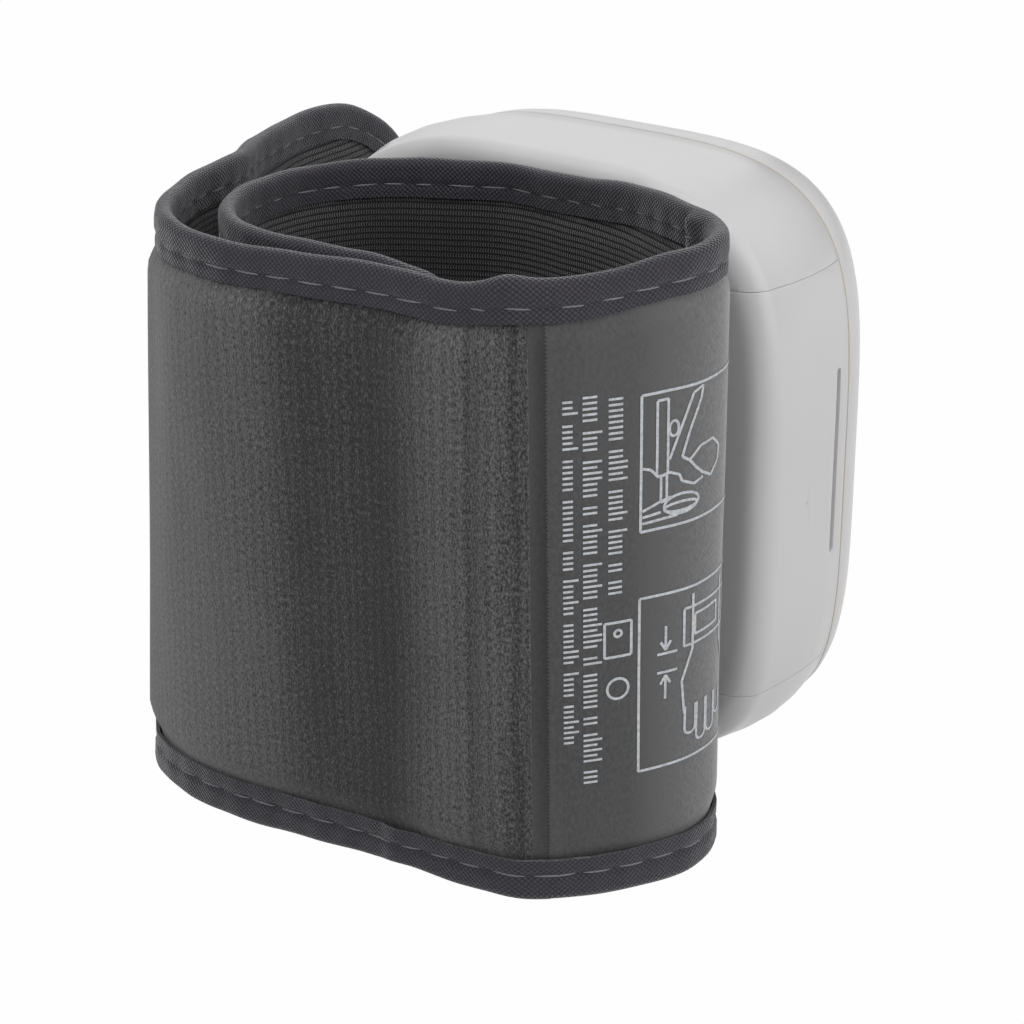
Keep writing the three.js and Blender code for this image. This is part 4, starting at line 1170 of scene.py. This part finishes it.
def wovenTape():
    finish = Finish("wovenTape", (0.055, 0.052, 0.062), 0.5, Specular_IOR_Level=0.2, Sheen_Weight=0.4,
                    Sheen_Roughness=0.4)
    spot = finish.cloth()
    along, across, none = finish.parts(spot)
    wear = finish.clothNoise(spot, 300, 300, 3)
    slip = finish.clothNoise(spot, 1400, 1400, 1) * 2.4
    basket = (along * 11000 + slip).sine() * (across * 11000 + slip).sine()
    dots = finish.between(basket, -0.4, 0.9)
    base = finish.mixed(dots, (0.021, 0.0195, 0.025), (0.072, 0.067, 0.086))
    finish.paint(finish.between(wear, 0.4, 0.9) * 0.5, base, (0.052, 0.048, 0.061))
    finish.drive("Roughness", 0.42 + wear * 0.2)
    finish.bump(basket, 0.6, 0.00014)
    return finish


def ribbedKnit():
    finish = Finish("ribbedKnit", (0.02, 0.02, 0.021), 0.8, Sheen_Weight=0.2, Specular_IOR_Level=0.25)
    spot = finish.cloth()
    along, across, none = finish.parts(spot)
    rib = abs((across * 4300).sine())
    loops = (along * 19000 + rib * 3.4).sine()  # each rib is a row of slanting loops
    dirt = finish.clothNoise(spot, 200, 200, 2)
    mesh = finish.between(rib, 0.2, 0.6) * finish.between(loops, -0.3, 0.8)
    deep = finish.between(abs(along - 0.073), 0.004, 0.03)  # painted shadow: the knit is darker in the middle of the far wall
    bright = finish.mixed(deep, (0.09, 0.09, 0.096), (0.24, 0.24, 0.255))
    finish.paint(mesh, (0.006, 0.006, 0.007), bright)
    finish.drive("Roughness", 0.7 + dirt * 0.2)
    finish.bump(mesh, 0.8, 0.0003)
    return finish


def sewingThread():
    finish = Finish("sewingThread", (0.19, 0.18, 0.21), 0.6, Sheen_Weight=0.2)
    twist = finish.noise(finish.place(), 4200, 2)
    finish.paint(twist, (0.09, 0.087, 0.1), (0.25, 0.245, 0.27))
    finish.bump(twist, 0.4, 0.00008)
    return finish


def printInk():
    finish = Finish("printInk", (0.42, 0.44, 0.47), 0.6)
    chip = finish.noise(finish.place(), 2600, 3)
    finish.paint(finish.between(chip, 0.3, 0.62), (0.4, 0.415, 0.44), (0.6, 0.62, 0.65))
    return finish


def hookTape():
    finish = Finish("hookTape", (0.015, 0.015, 0.016), 0.6)
    spot = finish.cloth()
    hooks = finish.cells(finish.scaled(spot, (900, 900, 1)), 1.0)
    finish.paint(finish.between(hooks, 0.1, 0.6), (0.06, 0.06, 0.065), (0.01, 0.01, 0.011))
    finish.bump(1 - hooks, 0.9, 0.0005)
    return finish


finishes.update({
    "printed": printedCloth("printedCloth", 0.054),
    # the seam channel's cloth is darker than the printed cloth: painted shade of its recess
    "channel": printedCloth("seamClothShaded", 0.042),
    "pile": brushedPile(),
    "tape": wovenTape(),
    "knit": ribbedKnit(),
    "thread": sewingThread(),
    "ink": printInk(),
    "hook": hookTape(),
})

seamBend = (onPart(-28.5, 56, 35), onPart(-20.5, 56, 35))  # the flap turns over this stretch of cloth; nothing here bends it


def withFlap(piece):
    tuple(seamBend[0])
    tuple(seamBend[1])
    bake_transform(piece)


printedPanel = clothSheet("printedPanel", 0.6, toothAt, printedOut, 0.45)
finishes["printed"].on(printedPanel)
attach(printedPanel, "housing")
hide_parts("cuff_outer_panel", "cuff_stiffener")

cuffLining = clothSheet("cuffLining", 0.6, toothAt, liningOut, -0.4)
finishes["knit"].on(cuffLining)
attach(cuffLining, "housing")
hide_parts("cuff_lining", "air_bladder")

seamChannel = clothSheet("seamChannel", toothAt, pileAt, channelOut, 0.4, pitch=0.35)
finishes["channel"].on(seamChannel)
withFlap(seamChannel)

loopPanel = clothSheet("loopPanel", pileAt, strapEnd - 0.6, pileOut, 0.7, pitch=0.8)
shade = loopPanel.data.attributes.new("shade", "FLOAT", "POINT")
clothMap = loopPanel.data.uv_layers["cloth"].data
# bake the bands of painted light and shade into the shade attribute
for loop in loopPanel.data.loops:
    s = clothMap[loop.index].uv.x / mm - seamAt
    level = sum(strength * hump(s, place, width) for place, width, strength in pile["bands"])
    shade.data[loop.vertex_index].value = 0.5 + 0.5 * level
finishes["pile"].on(loopPanel)
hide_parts("flap_loop_panel")
withFlap(loopPanel)

flapLining = clothSheet("flapLining", toothAt, strapEnd - 0.6, liningOut, -0.4)
finishes["knit"].on(flapLining)
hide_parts("flap_lining")
withFlap(flapLining)
print("cuff cloth made")


# binding tape round the cuff's edges
hem = {
    "half": (1.35, 1.05),  # along the bottom and along the top
    "tape": 0.4,
    "stitchIn": (3.5, 3.05),
    "stitchPitch": 4.0,
    "stitchLong": 3.4,
    "stitchThick": 0.12,
    "overlap": 0.22,  # extra thickness where the two tapes meet at the seam
    "join": (12.6, 0.4),  # the bottom tape's own ends meet this far past the seam, and how thick
    "dart": (117, 1.0),  # a fold in the top tape, inside the turn
    "bump": 0.45,  # the top edge stands up where the tapes meet
    "lift": 0.55,  # and the bottom edge is off the floor past the seam
    "nose": 1.15,  # the tape is rounded within this depth
    "pinch": 0.36,  # how deep and how wide the stitches draw it in
    "depths": [1, 0.95, 0.89, 0.83, 0.77, 0.71, 0.65, 0.58, 0.5, 0.4, 0.29, 0.2, 0.13, 0.075, 0.035, 0.01],
}


def hemFold(s, z, side):
    if z < strap["height"] / 2:
        at, thick = hem["join"]
        past = s - seamAt - at
        return thick * ease(past, -6, -0.4) * (1 - ease(past, -0.4, 0.4))
    at, thick = hem["dart"]
    return thick * ease(s, at - 0.6, at + 0.2) * (1 - ease(s, at + 0.2, at + 5)) if side < 0 else 0.0


def hemRise(s, z):
    # how far the edge itself is moved in, where it isn't straight
    if z < strap["height"] / 2:
        return hem["lift"] * hump(s - seamAt, 9, 8)
    return -hem["bump"] * hump(s - seamAt, -3, 2)


def hemOut(s, z, depth, run):
    # how far the tape stands from the strip's middle, at a depth in from its edge
    half = upThe(hem["half"], z) + hem["overlap"] * hump(s - seamAt, -3, 2.2)
    if depth < hem["nose"]:
        share = 1 - depth / hem["nose"]
        half *= math.sqrt(max(1 - share * share, 0.0)) ** 0.9
    pinch = hem["pinch"] * hump(depth, upThe(hem["stitchIn"], z), hem["pinch"])
    pinch *= 0.7 + 0.3 * math.cos(2 * math.pi * run / hem["stitchPitch"])
    slack = 0.08 * math.sin(run * 0.55) + 0.06 * math.sin(run * 1.7 + 1)
    return half - pinch - 0.08 * ease(depth, 3.2, 4.0) + slack * min(depth, 2.0) / 2


def hemWave(run):
    # the edge is not quite straight
    return 0.1 * (1.5 + math.sin(run * 0.23) + 0.5 * math.sin(run * 0.71 + 2))


def edgeRun(seamSide, endSide, radius, pitch=0.8):
    # the strip's edge from the seam along the top, round the end and back along the bottom:
    # place along the strip, height, and the way in from the edge
    way = 1 if endSide > seamSide else -1
    upper = []
    for s in stations(min(seamSide, endSide - way * radius), max(seamSide, endSide - way * radius), pitch):
        upper.append((s, 0.0, 0.0, 1.0))
    if way < 0:
        upper.reverse()
    for i in range(1, 25):
        angle = i / 24 * math.pi / 2
        upper.append((endSide - way * radius * (1 - math.sin(angle)), radius * (1 - math.cos(angle)),
                      way * math.sin(angle), math.cos(angle)))
    high = [(s, topEdge(s) - down, -inAlong, -inDown) for s, down, inAlong, inDown in upper]
    low = [(s, down, -inAlong, inDown) for s, down, inAlong, inDown in upper]
    topCorner, lowCorner = high[-1][1], low[-1][1]
    middle = [(endSide, topCorner + (lowCorner - topCorner) * i / 40, -way, 0.0) for i in range(1, 40)]
    return high + middle + low[::-1]


def alongEdge(edge):
    # each place of an edge, with how far along the edge it is
    run, last = 0.0, None
    for s, z, inAlong, inUp in edge:
        spot = strapAt(s, z, 0)
        run += (spot - last).length / mm if last else 0.0
        last = spot
        yield s, z, inAlong, inUp, run


def bindingTape(name, edge):
    # share of the depth, side, inside or outside of the tape
    outside, inside = hem["depths"], hem["depths"][:-2:3]
    section = [(depth, 1, False) for depth in outside] + [(0.0, 0, False)]
    section += [(depth, -1, False) for depth in outside[::-1]]
    section += [(depth, -1, True) for depth in inside] + [(depth, 1, True) for depth in inside[::-1]]
    count = len(section)
    vertices, maps, faces = [], [], []
    for s, z, inAlong, inUp, run in alongEdge(edge):
        around = 0.0
        for k, (share, side, within) in enumerate(section):
            depth = share * upThe(strap["hem"], z)
            deep = depth + (hemWave(run) + hemRise(s, z)) * max(1 - depth / 3, 0)
            sHere, zHere = s + deep * inAlong, z + deep * inUp
            centre = stripMiddle(sHere)
            out = hemOut(sHere, z, depth, run) - (hem["tape"] if within else 0.0)
            out += hemFold(sHere, z, side) * min(depth, 1.0)
            vertices.append(strapAt(sHere, zHere, centre + side * max(out, 0.0)))
            if k:
                around += (vertices[-1] - vertices[-2]).length
            maps.append((run * mm, around))
    for r in range(len(edge) - 1):
        for k in range(count):
            a, b = r * count + k, r * count + (k + 1) % count
            faces.append((a, a + count, b + count, b))
    faces.append(tuple(range(count)))
    faces.append(tuple(range((len(edge) - 1) * count, len(edge) * count))[::-1])
    piece = clothMesh(name, vertices, faces, maps)
    faceOutwards(piece)
    smooth(piece, 70)
    return piece


def stitchRow(name, edge):
    # one stitch, modelled once and laid along both sides of the hem
    clearSelection()
    bpy.ops.mesh.primitive_uv_sphere_add(segments=8, ring_count=6, radius=1)
    pattern = bpy.context.object
    shape = [v.co.copy() for v in pattern.data.vertices]
    skin = [tuple(f.vertices) for f in pattern.data.polygons]
    bpy.data.objects.remove(pattern)
    due = hem["stitchPitch"] / 2
    vertices, faces, maps = [], [], []
    for s, z, inAlong, inUp, run in alongEdge(edge):
        if run < due:
            continue
        due += hem["stitchPitch"]
        for side in (1, -1):
            tilt = dice.uniform(-0.05, 0.05)
            long = hem["stitchLong"] * dice.uniform(0.9, 1.05) / 2
            first = len(vertices)
            for x, y, zUp in shape:
                ahead = zUp * long
                deep = upThe(hem["stitchIn"], z) + x * hem["stitchThick"] + ahead * tilt
                # along the edge is the way in, turned a quarter
                sHere = s + deep * inAlong - ahead * inUp
                zHere = z + deep * inUp + ahead * inAlong
                centre = stripMiddle(sHere)
                stand = hemOut(sHere, z, upThe(hem["stitchIn"], z), run) - 0.02 + y * hem["stitchThick"] * 0.8
                stand += hemFold(sHere, z, side)
                stand -= 0.2 * (ahead / long) ** 4
                vertices.append(strapAt(sHere, zHere, centre + side * stand))
                maps.append((0, 0))
            faces += [tuple(first + i for i in (f if side > 0 else f[::-1])) for f in skin]
    piece = clothMesh(name, vertices, faces, maps)
    faceOutwards(piece)
    smooth(piece, 180)
    return piece


fixedEdge = edgeRun(toothAt, 0.0, strap["innerRound"])
flapEdge = edgeRun(toothAt, strapEnd, strap["tailRound"])
cuffBinding = bindingTape("cuffBinding", fixedEdge)
flapBinding = bindingTape("flapBinding", flapEdge)
cuffStitches = stitchRow("cuffStitches", fixedEdge)
flapStitches = stitchRow("flapStitches", flapEdge)
tapes, seams = (cuffBinding, flapBinding), (cuffStitches, flapStitches)
for piece in tapes + seams:
    finishes["tape" if piece in tapes else "thread"].on(piece)
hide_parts("cuff_binding_top", "cuff_binding_bottom")
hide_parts("flap_binding_top", "flap_binding_bottom")
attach(cuffBinding, "housing")
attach(cuffStitches, "housing")
withFlap(flapBinding)
withFlap(flapStitches)
print("binding and stitches made")

pinked = {"pitch": 0.44, "tooth": 0.2, "width": 1.3, "stand": 0.1, "thick": 0.25}


def makePinkedEdge():
    # the printed cloth's pinked edge, lying on the channel beside the pile
    vertices, faces, maps = [], [], []
    low, high = strap["hem"][0] - 0.4, strap["height"] - strap["hem"][1] + 0.4
    count = round((high - low) / pinked["pitch"] * 2)
    for i in range(count + 1):
        z = low + (high - low) * i / count
        reach = pinked["tooth"] if i % 2 else 0.0
        for s in (toothAt - pinked["width"], toothAt - 0.3, toothAt + reach):
            vertices.append(strapAt(s, z, printedOut(min(s, toothAt), z) + pinked["stand"]))
            maps.append((s * mm, z * mm))
    for i in range(count):
        for k in range(2):
            a = i * 3 + k
            faces.append((a, a + 3, a + 4, a + 1))
    piece = clothMesh("pinkedEdge", vertices, faces, maps)
    thicken(piece, pinked["thick"])
    finishes["printed"].on(piece)
    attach(piece, "housing")
    return piece


pinkedEdge = makePinkedEdge()
print("pinked edge made")

# plain marks printed on the cloth: mm from the seam towards the case, and mm up
printMarks = {
    "stroke": 0.3,
    "tick": 0.26,
    "tickHigh": 1.5,
    "tickStep": 0.62,
    "wordGap": 0.75,
    "lift": 0.05,
    "thick": 0.03,
    "rows": [(7.4, 58.6, 18, 4), (9.9, 58.9, 12.5, 9), (12.6, 58.4, 35.5, 2)],  # place, from, to, seed
    "frames": [(16.1, 34, 43.1, 58.3), (16.1, 34, 14.9, 35.4), (12.2, 15.2, 29.2, 33.2)],
    "lines": [
        # a seated figure with its arm on a table, in the upper frame
        [(17.9, 49), (17.9, 57.4), (19.2, 57.4), (19.2, 49), (17.9, 49)],
        [(16.3, 50.2), (17.2, 49.9), (18.1, 48.9), (19.4, 49.2), (20.6, 48.7), (20.9, 47.9), (22.4, 47.2),
         (23.6, 47.6)],
        [(18.4, 48.9), (18.4, 46), (19.1, 46.2), (19.1, 48.9)],
        [(19.4, 50.6), (20.8, 54), (22.2, 57.4), (23.4, 57.9), (23.2, 56.6), (21.9, 53.6), (20.9, 50.6),
         (21.8, 50)],
        [(21.8, 50), (22.6, 49), (23.4, 48.2), (24.9, 47.3), (26.2, 48.6), (26.4, 50.2), (25.2, 51.4),
         (23.2, 51.2), (21.8, 50)],
        [(16.3, 45.4), (18.3, 46.1), (19.6, 46.4)], [(16.3, 44.7), (18.4, 44.9)], [(16.3, 44), (20.4, 44.2)],
        # a hand with a band on its wrist and a marked distance, in the lower frame
        [(22.5, 34.5), (22.5, 28), (21.2, 24.5), (21.6, 20.5)],
        [(27.6, 34.5), (27.6, 27.5), (28.8, 24)],
        [(21.4, 33), (28.8, 33), (28.8, 28.6), (21.4, 28.6), (21.4, 33)],
        [(22.8, 32), (26.6, 32), (26.6, 29.6), (22.8, 29.6), (22.8, 32)],
        [(18.2, 28.4), (20.6, 28.4)], [(18.2, 26.2), (20.6, 26.2)],
        [(19.2, 31.6), (19.2, 28.9)], [(18.6, 29.8), (19.2, 28.8), (19.8, 29.8)],
        [(19.2, 23), (19.2, 25.7)], [(18.6, 24.8), (19.2, 25.8), (19.8, 24.8)],
    ],
    "fingers": [(22.4, 17.8), (24.0, 16.5), (25.6, 16.8), (27.2, 18.2)],  # place and tip
    "fingerHalf": 0.7,
    "knuckles": 21.2,
    # place, height and the two half sizes of each oval
    "rings": [(19.9, 54, 0.55, 0.85), (20.9, 45.4, 2.1, 1.1), (20.8, 45.1, 2.0, 0.5), (13.7, 31.9, 0.4, 0.4),
              (13.7, 25.4, 1.2, 1.2)],
}


def makePrint():
    vertices, faces, maps = [], [], []

    def bar(start, end, width):
        # a thin strip of ink between two spots of the cloth
        start, end = Vector(start), Vector(end)
        count = max(1, math.ceil((end - start).length / 0.8))
        along = (end - start).normalized()
        side = Vector((-along.y, along.x)) * width / 2
        first = len(vertices)
        for i in range(count + 1):
            middle = start.lerp(end, i / count)
            for spot in (middle - side, middle + side):
                s = seamAt - spot.x
                vertices.append(strapAt(s, spot.y, printedOut(s, spot.y) + printMarks["lift"]))
                maps.append((s * mm, spot.y * mm))
        for i in range(count):
            a = first + 2 * i
            faces.append((a, a + 1, a + 3, a + 2))

    def oval(place, z, wide, high, parts, count):
        turns = [i * math.pi / parts for i in range(count)]
        return [(place + wide * math.cos(turn), z + high * math.sin(turn)) for turn in turns]

    for place, top, bottom, seed in printMarks["rows"]:  # groups of plain ticks
        z, dealt = top, random.Random(seed)
        while z > bottom + 2:
            for tick in range(dealt.randint(2, 8)):
                if z < bottom:
                    break
                high = printMarks["tickHigh"] * dealt.choice((1, 1, 1, 1.35))
                bar((place, z), (place + high, z), printMarks["tick"])
                z -= printMarks["tickStep"]
            z -= printMarks["wordGap"]
    lines = []
    for left, right, low, high in printMarks["frames"]:
        lines.append([(left, low), (right, low), (right, high), (left, high), (left, low)])
    lines += printMarks["lines"]
    half, foot = printMarks["fingerHalf"], printMarks["knuckles"]
    for place, tip in printMarks["fingers"]:
        finger = oval(place, tip + half, half, -half, 8, 9)
        lines.append([(place + half, foot)] + finger + [(place - half, foot)])
    lines += [oval(*ring, 12, 25) for ring in printMarks["rings"]]
    for line in lines:
        for start, end in pairs(line):
            bar(start, end, printMarks["stroke"])
    piece = clothMesh("clothPrint", vertices, faces, maps)
    thicken(piece, printMarks["thick"], 0)
    finishes["ink"].on(piece)
    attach(piece, "housing")
    return piece


clothPrint = makePrint()
print("print made")

hookPad = {"long": 26, "half": 8, "back": 5, "corner": 2.5, "stand": 0.3, "thick": 0.75}


def makeHookPad():
    start = strapEnd - hookPad["back"] - hookPad["long"]
    columns = stations(start, start + hookPad["long"], 1.0)

    def spanAt(s):
        near = min(s - columns[0], columns[-1] - s)
        half = hookPad["half"] - roundDrop(near, hookPad["corner"])
        return strap["height"] / 2 - half, 2 * half

    piece = gridCloth("hookPad", columns, 16, spanAt, lambda s, z: innerFace(s) - hookPad["stand"])
    thicken(piece, hookPad["thick"])
    smooth(piece, 50)
    finishes["hook"].on(piece)
    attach(piece, "cuff_flap")
    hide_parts("hook_patch")


makeHookPad()
print("hook pad made")
